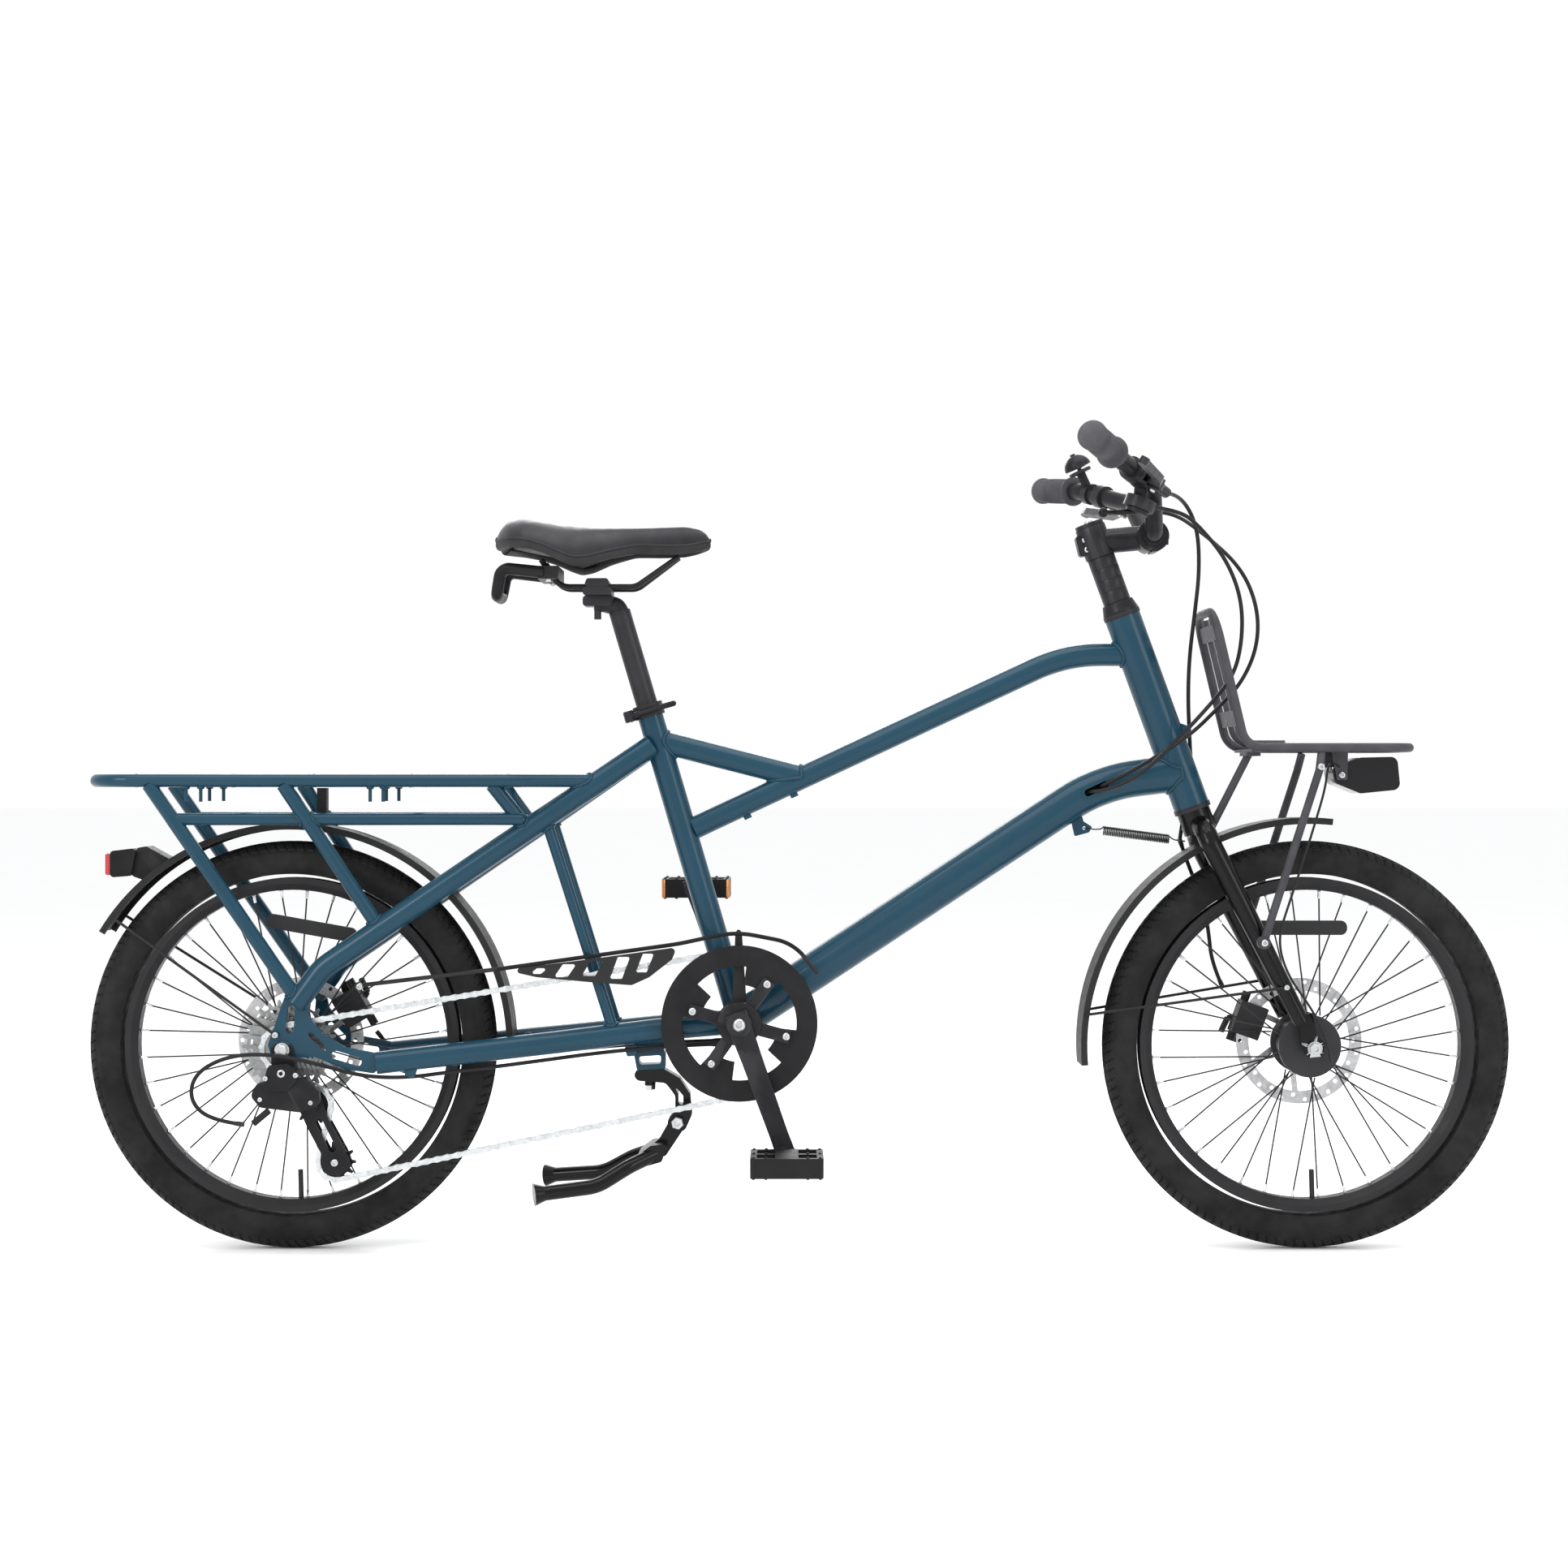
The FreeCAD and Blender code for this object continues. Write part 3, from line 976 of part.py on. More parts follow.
def brake_lever(side):
    """Two-finger brake lever: a curved blade with its pivot eye and the nose that pulls the cable."""
    pivot, axis = lever_frame(side)
    run = bar_run(side)
    out = (run.cross(axis) * side).normalize()
    face = Part.Face(rounded_path([pivot + run * u + out * w - axis * 4.5 for u, w in LEVER_PROFILE], 6, closed=True))
    blade = face.extrude(axis * 9)
    hub = rod(pivot - axis * 4.5, pivot + axis * 4.5, 9)
    bore = rod(pivot - axis * 10, pivot + axis * 10, 2.5 + FIT)
    return blade.fuse(hub).cut(bore).removeSplitter()


def bar_controls():
    """Brake lever brackets on both sides and the shifter's housing on the right."""
    solids = []
    for side in (LEFT, RIGHT):
        pivot, axis = lever_frame(side)
        run = bar_run(side)
        base = bar_point(150.0 * side)
        ring = rod(base - run * 7, base + run * 7, 15)
        arm = rod(base, pivot - LEVER_OUT * 11, 9)
        cheeks = rod(pivot - axis * 8.6, pivot + axis * 8.6, 8).cut(rod(pivot - axis * 5, pivot + axis * 5, 10))
        webs = rod(pivot - axis * 6.9 - LEVER_OUT * 22, pivot - axis * 6.9, 2.2).fuse(
            rod(pivot + axis * 6.9 - LEVER_OUT * 22, pivot + axis * 6.9, 2.2))
        pin = rod(pivot - axis * 8.6, pivot + axis * 8.6, 2.5)
        barrel = rod(base + LEVER_OUT * 26 - run * 15, base + LEVER_OUT * 30 - run * 38, 6.5)
        bridge = rod(base + LEVER_OUT * 14, base + LEVER_OUT * 27 - run * 20, 6.5)
        body = ring.fuse([arm, cheeks, webs, pin, barrel, bridge])
        swing = rod(pivot - axis * 5, pivot + axis * 5, 19).cut(rod(pivot - axis * 9, pivot + axis * 9, 2.5))
        solids.append(less(body, swing, BAR_SOLID).removeSplitter())
    base, run = bar_point(-128.0), bar_run(RIGHT)
    down = SHIFT_AXIS
    ring = rod(base - run * 5, base + run * 5, 15)
    post = rod(base, SHIFT_PIVOT, 8)
    house = rod(SHIFT_PIVOT + down * -7, SHIFT_PIVOT + down * 7, 19)
    outlet = rod(SHIFT_PIVOT + V(0, 10, 0), SHIFT_PIVOT + V(22, 24, -2), 5)
    solids.append(less(ring.fuse([post, house, outlet]), BAR_SOLID, *solids))
    return [max(s.Solids, key=lambda q: q.Volume) for s in solids]


SHIFT_AXIS = V(-0.35, 0, -0.937).normalize()
SHIFT_PIVOT = bar_point(-120.0) + V(-6, 0, -29)


def shift_lever():
    """Thumb lever under the shifter's housing."""
    at = SHIFT_PIVOT + SHIFT_AXIS * 7.4
    hub = rod(at, at + SHIFT_AXIS * 5, 14)
    tail = at + SHIFT_AXIS * 2.6
    blade = bar([tail, tail + V(-30, -8, -2), tail + V(-44, -26, -4)], 3.2, 12)
    return hub.fuse([blade, Part.makeSphere(6, tail + V(-44, -26, -4))]).cut(
        rod(at - SHIFT_AXIS * 20, at, 30)).removeSplitter()


BELL_UP = V(-0.42, 0, 0.907).normalize()
BELL_AT = bar_point(172.0) + BELL_UP * 30


def bell():
    """Bell on a band round the bar: base, gong and striker post."""
    base, run = bar_point(172.0), bar_run(LEFT)
    ring = rod(base - run * 5, base + run * 5, 14).fuse(rod(base, BELL_AT, 6))
    ring = ring.fuse(rod(BELL_AT, BELL_AT + BELL_UP * 4, 15)).cut(BAR_SOLID)
    ring = ring.cut(rod(BELL_AT + BELL_UP * 1.2, BELL_AT + BELL_UP * 20, 9.2))
    ring = ring.fuse(rod(BELL_AT, BELL_AT + BELL_UP * 22, 2.2))
    gong = Part.makeSphere(18, BELL_AT + BELL_UP * 8).common(
        rod(BELL_AT + BELL_UP * 8.4, BELL_AT + BELL_UP * 40, 25))
    gong = gong.cut(Part.makeSphere(16.4, BELL_AT + BELL_UP * 8))
    cap = rod(BELL_AT + BELL_UP * 22.2, BELL_AT + BELL_UP * 27.6, 3.4)
    return [max(ring.Solids, key=lambda s: s.Volume), gong.cut(cap), cap]


def bell_lever():
    """Thumb tab of the bell, turning on the bell's post under the gong."""
    at = BELL_AT + BELL_UP * 1.5
    hub = rod(at, at + BELL_UP * 2.2, 8.8)
    out = V(0, -1, 0)
    arm = rod(at + BELL_UP * 4.9, at + BELL_UP * 4.9 + out * 28, 1.6)
    riser = rod(at + out * 6 + BELL_UP, at + out * 6 + BELL_UP * 4.5, 2.2)
    tab = rod(at + BELL_UP * 4 + out * 28, at + BELL_UP * 8 + out * 28, 5.5)
    return hub.fuse([riser, arm, tab]).cut(rod(at - BELL_UP, at + BELL_UP * 9, 2.2 + GAP)).removeSplitter()


# ---- front mudguard, carrier, lamp and cables -----------------------------------------------------
PLATFORM_Z, CARRIER_HALF, CARRIER_R = 628.0, 66.0, 5.5
LAMP_PIVOT = V(676, 0, 594)
HOOK_TOP = V(510, 0, 797)


def front_mudguard():
    """Front blade on its tab under the fork crown, with wire stays to the fork ends."""
    blade = mudguard(FRONT_AXLE, 283, 84, 185)
    tab = outline([(497, 530), (507, 523), (503, 505), (491, 511)], 2, -9, 9)
    tab = less(tab, blade, FORK_SOLID)
    solids = [blade, lying_on(tab, 498, 0, 510)]
    for side in (LEFT, RIGHT):
        edge = point_on(FRONT_AXLE, 281, 172, 31 * side)
        solids.append(rod(edge, V(600, 67.6 * side, 332), 1.8))
    return solids


def carrier_loop():
    """The carrier's closed outer loop: platform edge and upright hoop in one bent rod."""
    h = CARRIER_HALF
    loop = [V(758, h, PLATFORM_Z), V(758, -h, PLATFORM_Z), V(550, -h, PLATFORM_Z), V(HOOK_TOP.x, -h, HOOK_TOP.z),
            V(HOOK_TOP.x, h, HOOK_TOP.z), V(550, h, PLATFORM_Z)]
    path = rounded_path(loop, [30, 30, 26, 34, 34, 26], closed=True)
    first = path.OrderedEdges[0]
    start = first.valueAt(first.FirstParameter)
    ring = Part.Wire(Part.makeCircle(CARRIER_R, start, first.tangentAt(first.FirstParameter)))
    return path.makePipeShell([ring], True, True)


def carrier_bars():
    """The carrier's cross strips, inner bars, struts to the fork and the lamp's bracket."""
    h, frame, solids = CARRIER_HALF, LOOP_SOLID, []
    back = (V(550, 0, PLATFORM_Z) - HOOK_TOP).normalize()
    for along in (26.0, 136.0):
        at = HOOK_TOP + back * along
        strip = Part.makeBox(3, 2 * h, 20, V(-1.5, -h, -10))
        strip.rotate(V(0, 0, 0), Y_AXIS, -math.degrees(math.atan2(back.x, -back.z)))
        strip.translate(at)
        solids.append(lying_on(strip.cut(frame), at.x, 0, at.z))
    for x in (604.0, 664.0, 718.0):
        strip = block(V(x - 9, -h, PLATFORM_Z - 1.5), V(x + 9, h, PLATFORM_Z + 1.5)).cut(frame)
        solids.append(lying_on(strip, x, 0, PLATFORM_Z))
    for side in (LEFT, RIGHT):
        y = 24 * side
        inner = bar([V(606, y, PLATFORM_Z + 5.6), V(552, y, PLATFORM_Z + 5.6), V(514.5, y, 790)], 4, 22)
        solids.append(less(inner, frame, *solids))
        for x0, x1 in ((613, 655), (673, 709), (727, 752.2)):
            solids.append(block(V(x0, y - 5, PLATFORM_Z - 1.5), V(x1, y + 5, PLATFORM_Z + 1.5)).cut(frame))
        strut = bar([V(644, 62 * side, 621), V(640, 70 * side, 600), V(571, 71 * side, 387)], 5, 12)
        eye = disc(V(571, 0, 387.5), 8, side * 66.2, side * 76)
        boss_at = mirrored(BLADE_TOP + (BLADE_LOW - BLADE_TOP) * 0.515, side)
        bolt = disc(V(boss_at.x, 0, boss_at.z), 6.4, side * 76, side * 79)
        solids.append(less(strut.fuse([eye, bolt]), *solids).removeSplitter())
    rear = less(rod(V(514, 0, 520), V(566, 0, 622), 5), HEAD_CROWN)
    rear = max(rear.Solids, key=lambda s: s.Volume)
    foot = block(V(558, -24, 618), V(576, 24, 622.5))
    link = block(V(558, -62, 622.8), V(576, 62, 626.4)).cut(frame)
    rear = rear.fuse([foot, lying_on(link, 567, 0, 624), block(V(558, -8, 622), V(576, 8, 623))])
    solids.append(rear.removeSplitter())
    bracket = outline([(664, 626.4), (684, 626.4), (683, 588), (670, 588)], 3, -30, -27.5)
    other = outline([(664, 626.4), (684, 626.4), (683, 588), (670, 588)], 3, 27.5, 30)
    plate = block(V(664, -30, 623.4), V(684, 30, 626.4))
    pins = disc(LAMP_PIVOT, 2.5, -31, -22).fuse(disc(LAMP_PIVOT, 2.5, 22, 31))
    solids.append(bracket.fuse([other, plate, pins]).removeSplitter())
    return [max(s.Solids, key=lambda q: q.Volume) for s in solids]


LOOP_SOLID = carrier_loop()
HEAD_CROWN = rod(HEAD_LOW - STEER_UP * 6.4, HEAD_LOW - STEER_UP * 34, 21)
FORK_SOLID = fork()


def headlamp():
    """Lamp body with its visor and lens."""
    body = outline([(664, 604), (700, 616), (746, 617), (750, 576), (700, 571), (668, 584)], 9, -27, 27)
    body = body.cut(outline([(744, 611), (760, 611), (760, 581), (744, 581)], 2, -22, 22))
    body = body.cut(disc(LAMP_PIVOT, 2.5 + FIT, -40, 40)).cut(disc(LAMP_PIVOT, 12, -60, -26.5)).cut(
        disc(LAMP_PIVOT, 12, 26.5, 60))
    lens = outline([(744.3, 610.6), (747.6, 610.6), (748.6, 581.4), (744.3, 581.4)], 1, -21.6, 21.6)
    return [body, lens]


def cord(points, r):
    """Round cord of straight runs and tangent arcs, each arc as wide as its runs allow."""
    radii = []
    for before, p, after in zip(points, points[1:], points[2:]):
        u, w = before - p, after - p
        turn = math.pi - u.getAngle(w)
        radii.append(0.45 * min(u.Length, w.Length) / math.tan(turn / 2))
    return bar(points, r, radii)


CABLE_R = 2.5
FORK_GUIDE = V(484, 37, 512)
GEAR_ROUTE = [V(-100, -24, 258), V(-148, -24, 256.4), V(-205, -31, 252.4), V(-262, -38, 247.0),
              V(-319, -47, 240.0), V(-376, -54, 233.0), V(-433, -61, 227.0), V(-488, -68, 220.4),
              V(-540, -80, 224), V(-594, -88.5, 241), V(-650, -92, 253), V(-702, -92, 250), V(-742, -90, 228),
              V(-748, -87, 194), V(-722, -84, 170), V(-684, -81, 165)]


def fork_cables():
    """Front brake cable from the crown to its caliper, and the lamp wire from the hub to the headlamp."""
    brake = [FORK_GUIDE, V(498, 48, 474), V(516, 62, 440), V(526, 71, 396), V(531, 76, 352), V(545, 77, 322)]
    wire = [V(657, -57, 238), V(651, -68, 264), V(632, -71.5, 304), V(600, -69.5, 348), V(587, -76.5, 392),
            V(601, -78.5, 436), V(617, -78.5, 484), V(632, -78.8, 532), V(646, -77, 578), V(652, -62, 606),
            V(664, -40, 610), V(672, -36, 604)]
    return [cord(brake, CABLE_R), cord(wire, 1.5)]


def stay_cables():
    """Gear cable under the right chainstay to the derailleur, and brake cable under the left one."""
    brake = [V(-100, 24, 258), V(-148, 24, 256.4), V(-205, 31, 252.4), V(-262, 38, 247.6), V(-319, 47, 240.6),
             V(-376, 54, 233.6), V(-433, 61, 227.0), V(-484, 72, 220), V(-524, 89, 236), V(-545, 89, 262)]
    return [cord(GEAR_ROUTE, CABLE_R), cord(brake, CABLE_R)]


def control_cables():
    """The three loops in front of the head tube, from the bar to the frame and the fork."""
    p = bar_point(-150.0) + LEVER_OUT * 30 - bar_run(RIGHT) * 39
    q = bar_point(150.0) + LEVER_OUT * 30 - bar_run(LEFT) * 39
    s = SHIFT_PIVOT + V(23, 25, -2)
    front = [p, p + V(22, 40, 3), V(494, -42, 905), V(500, -22, 850), V(496, -8, 797), V(491, 2, 745),
             V(489.5, 5, 694), V(491.5, 5.5, 643), V(497, 22, 592), V(489, 34, 550), FORK_GUIDE + V(0.3, -0.2, 2)]
    rear = [q, q + V(30, -38, 2), V(520, 48, 900), V(561, 24, 856), V(578, 6, 805), V(575, -8, 755),
            V(554, -13, 709), V(520, -16, 674), V(486, -29, 643), V(440, -43, 615), V(400, -35, 592),
            V(377, -20.5, 580)]
    gear = [s, s + V(34, 22, -2), V(493, -68, 900), V(528, -52, 862), V(549, -40, 815), V(551, -38, 765),
            V(540, -42, 718), V(508, -47, 680), V(470, -54, 640), V(428, -51, 599), V(389, -36, 575.5),
            V(363, -20, 573)]
    return [cord(front, CABLE_R), cord(rear, CABLE_R), cord(gear, CABLE_R)]


SPRING_A, SPRING_B = V(358, 0, 527.5), V(484, 0, 511)


def steering_spring():
    """Centring spring between the down tube's tab and the fork crown: coil tube and two hooks."""
    run = (SPRING_B - SPRING_A).normalize()
    coil = pipe(SPRING_A + run * 26, SPRING_B - run * 20, 5.2, 1.6)
    ends = [rod(SPRING_A + run * 3.5, SPRING_A + run * 28, 1.6), rod(SPRING_B - run * 22, SPRING_B - run * 3.5, 1.6)]
    plugs = [rod(SPRING_A + run * 26, SPRING_A + run * 29, 4.0), rod(SPRING_B - run * 23, SPRING_B - run * 20, 4.0)]
    return coil.fuse([*ends, *plugs])


def frame_guides():
    """Cable guide on the front of the head tube."""
    plate = outline([(476, 660), (487, 656), (490, 642), (480, 640)], 2, -9, 9)
    return lying_on(plate.cut(HEAD_SOLID), 486, 0, 650)


# ---- write every node -----------------------------------------------------------------------------
RACK_CROSS = Part.makeCompound([rod(V(x, -74, RACK_Z), V(x, 74, RACK_Z), 6.0) for x in CROSS_X] + [RAIL_SOLID])
DROPOUTS = {s: dropout(s) for s in (LEFT, RIGHT)}


def wheel_nodes(name, centre, flanges, r_body, r_flanges, rotor_y, cross):
    """Tyre, rim, spokes with reflector, and hub with rotor."""
    shell = hub_shell(centre, flanges[0], flanges[1], r_body, r_flanges, rotor_y, AXLE_R + FIT)
    rim_solids = rim(centre)
    wires, reflector = spokes(centre, flanges[0] - 2, flanges[1] + 1.5, r_flanges, cross)
    reflector = less(reflector, *[w for w in wires if w.distToShape(reflector)[0] < 0.1])
    save(f"{name}_tyre", tyre(centre))
    save(f"{name}_rim", *rim_solids)
    save(f"{name}_spokes", *wires, max(reflector.Solids, key=lambda s: s.Volume))
    save(f"{name}_hub", *shell)


def main():
    os.makedirs("parts", exist_ok=True)
    save("head_tube", head_tube(), frame_guides())
    save("frame_bearings", *frame_bearings())
    save("top_tube", *top_tubes())
    save("down_tube", *down_tube())
    save("seat_tube", *seat_tube())
    save("upper_stays", *upper_stays())
    save("chain_stays", *chainstays())
    dropouts = []
    for side, plate in DROPOUTS.items():
        plate = less(plate, STAY_SOLIDS[side], CHAINSTAY_SOLIDS[side])
        dropouts.append(max(plate.Solids, key=lambda s: s.Volume))
    save("dropouts", *dropouts, wheel_bearings(REAR_AXLE, 86, REAR_OLD / 2 + 6.2))
    save("rack_rail", rack_rail())
    save("rack_frame", *rack_frame())
    save("rear_mudguard", *rear_mudguard())
    save("tail_lamp", *tail_lamp())
    save("chain_guard", chain_guard())
    save("seat_clamp", seat_clamp(), seat_skewer())
    save("clamp_lever", clamp_lever())
    save("seatpost", *seatpost())
    save("saddle_rails", *saddle_rails())
    save("saddle", saddle())
    save("stand_bracket", stand_bracket())
    save("stand", stand())
    save("stay_cables", *stay_cables())
    save("control_cables", *control_cables())
    save("steering_spring", steering_spring())
    save("chain", chain())
    save("crankset", crankset())
    save("chainring", *chainring())
    save("right_pedal", *pedal(RIGHT, CRANK_DIR))
    save("left_pedal", *pedal(LEFT, CRANK_DIR * -1))
    save("freewheel", *freewheel())
    save("derailleur", *derailleur_body())
    save("derailleur_cage", derailleur_cage())
    save("guide_pulley", pulley(GUIDE_PULLEY))
    save("tension_pulley", pulley(TENSION_PULLEY))
    wheel_nodes("rear", REAR_AXLE, (-22, 30), 16, 24, REAR_ROTOR_Y, 18)
    wheel_nodes("front", FRONT_AXLE, (-28, 24), 34, 39, FRONT_ROTOR_Y, 14)
    for name, centre, turn in (("rear", REAR_CALIPER, REAR_CALIPER_TURN), ("front", FRONT_CALIPER, FRONT_CALIPER_TURN)):
        body, arm = caliper(centre, turn)
        save(f"{name}_caliper", body)
        save(f"{name}_caliper_arm", arm)
    save("fork", FORK_SOLID, wheel_bearings(FRONT_AXLE, 66, FRONT_OLD / 2 + 6.2))
    save("stem", *stem())
    save("handlebar", handlebar())
    save("grips", *grips())
    save("bar_controls", *bar_controls())
    save("right_brake_lever", brake_lever(RIGHT))
    save("left_brake_lever", brake_lever(LEFT))
    save("shift_lever", shift_lever())
    save("bell", *bell())
    save("bell_lever", bell_lever())
    save("front_mudguard", *front_mudguard())
    save("carrier_loop", LOOP_SOLID)
    save("carrier_bars", *carrier_bars())
    save("headlamp", *headlamp())
    save("fork_cables", *fork_cables())


main()
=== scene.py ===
"""Looks of the longtail cargo bicycle: materials, weld beads, tyres, saddle, chain, cables, hardware."""

import json
import math

import bpy
import numpy as np
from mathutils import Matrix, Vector
from mathutils.bvhtree import BVHTree


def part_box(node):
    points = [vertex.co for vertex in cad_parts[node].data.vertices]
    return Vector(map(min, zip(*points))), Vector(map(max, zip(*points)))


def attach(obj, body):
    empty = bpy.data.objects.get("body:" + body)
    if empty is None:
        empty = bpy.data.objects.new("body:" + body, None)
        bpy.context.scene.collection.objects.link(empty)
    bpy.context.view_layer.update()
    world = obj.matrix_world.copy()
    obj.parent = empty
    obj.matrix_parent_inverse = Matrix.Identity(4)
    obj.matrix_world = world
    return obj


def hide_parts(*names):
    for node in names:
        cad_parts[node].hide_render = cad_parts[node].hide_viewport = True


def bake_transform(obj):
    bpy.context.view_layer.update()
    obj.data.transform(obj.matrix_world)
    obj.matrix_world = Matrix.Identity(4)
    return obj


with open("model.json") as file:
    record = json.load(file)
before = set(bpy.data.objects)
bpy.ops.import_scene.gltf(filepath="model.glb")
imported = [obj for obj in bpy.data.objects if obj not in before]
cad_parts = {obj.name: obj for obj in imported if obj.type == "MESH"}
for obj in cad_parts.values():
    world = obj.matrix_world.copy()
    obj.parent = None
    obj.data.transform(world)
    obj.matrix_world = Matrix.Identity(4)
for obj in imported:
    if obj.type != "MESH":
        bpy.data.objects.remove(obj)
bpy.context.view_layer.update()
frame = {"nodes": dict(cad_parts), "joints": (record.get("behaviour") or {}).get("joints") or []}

MM = 0.001
PITCH = 12.7 * MM  # chain pitch
TOUCH = 0.4 * MM  # an edge this near to another tube is welded to it
BEAD_R, BEAD_RIPPLE, RIPPLE_PITCH = 2.0 * MM, 0.55 * MM, 3.1 * MM
CABLE_R, WIRE_R = 2.5 * MM, 1.5 * MM
TEETH = {"crank_spin": 44, "freewheel_spin": 14, "tension_pulley_spin": 11, "guide_pulley_spin": 11}
JOINT = {j["name"]: j for j in frame["joints"]}
rng = np.random.default_rng(7)


def pivot(joint):
    """A joint's position at rest."""
    return Vector(JOINT[joint]["pos_m"])


def along(joint):
    """A joint's axis."""
    return Vector(JOINT[joint]["axis"]).normalized()


# ---- materials ------------------------------------------------------------------------------------
class Mat:
    """Node material built step by step round one Principled shader."""

    def __init__(self, name, color, rough, metal=0.0, **sockets):
        self.mat = bpy.data.materials.new(name)
        self.mat.use_nodes = True
        self.tree = self.mat.node_tree
        self.bsdf = self.tree.nodes["Principled BSDF"]
        self.bsdf.inputs["Base Color"].default_value = (*color, 1)
        self.bsdf.inputs["Roughness"].default_value = rough
        self.bsdf.inputs["Metallic"].default_value = metal
        for key, value in sockets.items():
            self.bsdf.inputs[key.replace("_", " ")].default_value = value
        self.where = self.node("ShaderNodeTexCoord").outputs["Object"]
        self.color, self.rough = color, rough

    def node(self, kind, **values):
        n = self.tree.nodes.new(kind)
        for key, value in values.items():
            if hasattr(n, key):
                setattr(n, key, value)
            else:
                n.inputs[key.replace("_", " ")].default_value = value
        return n

    def link(self, a, b):
        self.tree.links.new(a, b)

    def noise(self, scale, detail=4.0, rough=0.55, stretch=None):
        """Noise value over the surface, at a scale in repeats per metre."""
        n = self.node("ShaderNodeTexNoise", Scale=scale, Detail=detail, Roughness=rough)
        source = self.where
        if stretch:
            m = self.node("ShaderNodeMapping")
            m.inputs["Scale"].default_value = stretch
            self.link(source, m.inputs["Vector"])
            source = m.outputs["Vector"]
        self.link(source, n.inputs["Vector"])
        return n.outputs["Fac"]

    def ramp(self, value, low, high, out_low, out_high):
        r = self.node("ShaderNodeMapRange")
        for key, v in (("From Min", low), ("From Max", high), ("To Min", out_low), ("To Max", out_high)):
            r.inputs[key].default_value = v
        self.link(value, r.inputs["Value"])
        return r.outputs["Result"]

    def mottle(self, value, other, low=0.35, high=0.65):
        """Blends the base colour towards another colour by a value."""
        mix = self.node("ShaderNodeMix", data_type="RGBA")
        mix.inputs["A"].default_value = (*self.color, 1)
        mix.inputs["B"].default_value = (*other, 1)
        self.link(self.ramp(value, low, high, 0.0, 1.0), mix.inputs["Factor"])
        self.link(mix.outputs["Result"], self.bsdf.inputs["Base Color"])
        return self

    def sheen_range(self, value, low, high):
        """Roughness between two values."""
        self.link(self.ramp(value, 0.35, 0.65, low, high), self.bsdf.inputs["Roughness"])
        return self

    def bump(self, value, height, strength=1.0):
        """Adds a bump of a height in metres on top of any earlier one."""
        b = self.node("ShaderNodeBump", Strength=strength, Distance=height)
        self.link(value, b.inputs["Height"])
        before = self.bsdf.inputs["Normal"].links
        if before:
            self.link(before[0].from_socket, b.inputs["Normal"])
        self.link(b.outputs["Normal"], self.bsdf.inputs["Normal"])
        return self

    def edge_wear(self, other, amount=0.35):
        """Lightens exposed edges a little."""
        g = self.node("ShaderNodeNewGeometry")
        edge = self.ramp(g.outputs["Pointiness"], 0.52, 0.6, 0.0, amount)
        mix = self.node("ShaderNodeMix", data_type="RGBA")
        before = self.bsdf.inputs["Base Color"].links
        if before:
            self.link(before[0].from_socket, mix.inputs["A"])
        else:
            mix.inputs["A"].default_value = (*self.color, 1)
        mix.inputs["B"].default_value = (*other, 1)
        self.link(edge, mix.inputs["Factor"])
        self.link(mix.outputs["Result"], self.bsdf.inputs["Base Color"])
        return self


def enamel(name, color, rough=0.3, coat=0.2):
    """Glossy paint under a clear coat, with faint orange peel."""
    m = Mat(name, color, rough, Coat_Weight=coat, Coat_Roughness=0.06, Specular_IOR_Level=0.12)
    m.mottle(m.noise(9, 3), [c * 1.12 for c in color])
    m.sheen_range(m.noise(60, 2), rough - 0.04, rough + 0.06)
    return m.bump(m.noise(420, 2), 0.00003, 0.25)


def satin(name, color, rough=0.42, grain=1800, metal=0.0):
    """Powder coat or anodised surface with a fine grain."""
    m = Mat(name, color, rough, metal, Specular_IOR_Level=0.14)
    m.mottle(m.noise(30, 4), [min(1, c * 1.35 + 0.002) for c in color])
    m.sheen_range(m.noise(120, 3), rough - 0.06, rough + 0.08)
    m.bump(m.noise(grain, 2), 0.00004, 0.5)
    return m.edge_wear([min(1, c * 2 + 0.03) for c in color])


def brushed(name, color, rough=0.28, stretch=(1, 1, 1), scale=300):
    """Bare metal with fine marks."""
    m = Mat(name, color, rough, 1.0)
    m.mottle(m.noise(scale / 6, 4), [c * 0.8 for c in color])
    m.sheen_range(m.noise(scale, 5, 0.7, stretch), rough - 0.1, rough + 0.15)
    return m.bump(m.noise(scale * 4, 3, 0.6, stretch), 0.00003, 0.4)


def rubber(name, color, rough=0.7):
    m = Mat(name, color, rough, Specular_IOR_Level=0.12)
    m.mottle(m.noise(25, 5), [c * 1.6 + 0.004 for c in color])
    m.sheen_range(m.noise(90, 4), rough - 0.12, rough + 0.1)
    return m.bump(m.noise(1500, 3), 0.00008, 0.6)


def vinyl(name, color):
    """Padded vinyl: fine pebbled grain and a soft sheen."""
    m = Mat(name, color, 0.42, Sheen_Weight=0.04, Specular_IOR_Level=0.2)
    cells = m.node("ShaderNodeTexVoronoi", Scale=900.0)
    m.link(m.where, cells.inputs["Vector"])
    m.mottle(m.noise(18, 4), [c * 1.5 + 0.004 for c in color])
    m.sheen_range(m.noise(50, 3), 0.36, 0.5)
    m.bump(cells.outputs["Distance"], 0.00012, 0.5)
    return m.bump(m.noise(2600, 2), 0.00005, 0.3)


def lens(name, color, alpha, prisms=450.0, rough=0.12):
    """Moulded lens or reflector with a prismatic relief."""
    m = Mat(name, color, rough, Coat_Weight=1.0, Coat_Roughness=0.04, Alpha=alpha)
    cells = m.node("ShaderNodeTexVoronoi", Scale=prisms, Randomness=0.0)
    m.link(m.where, cells.inputs["Vector"])
    m.mottle(cells.outputs["Distance"], [c * 0.55 for c in color], 0.2, 0.7)
    return m.bump(cells.outputs["Distance"], 0.0006, 0.9)


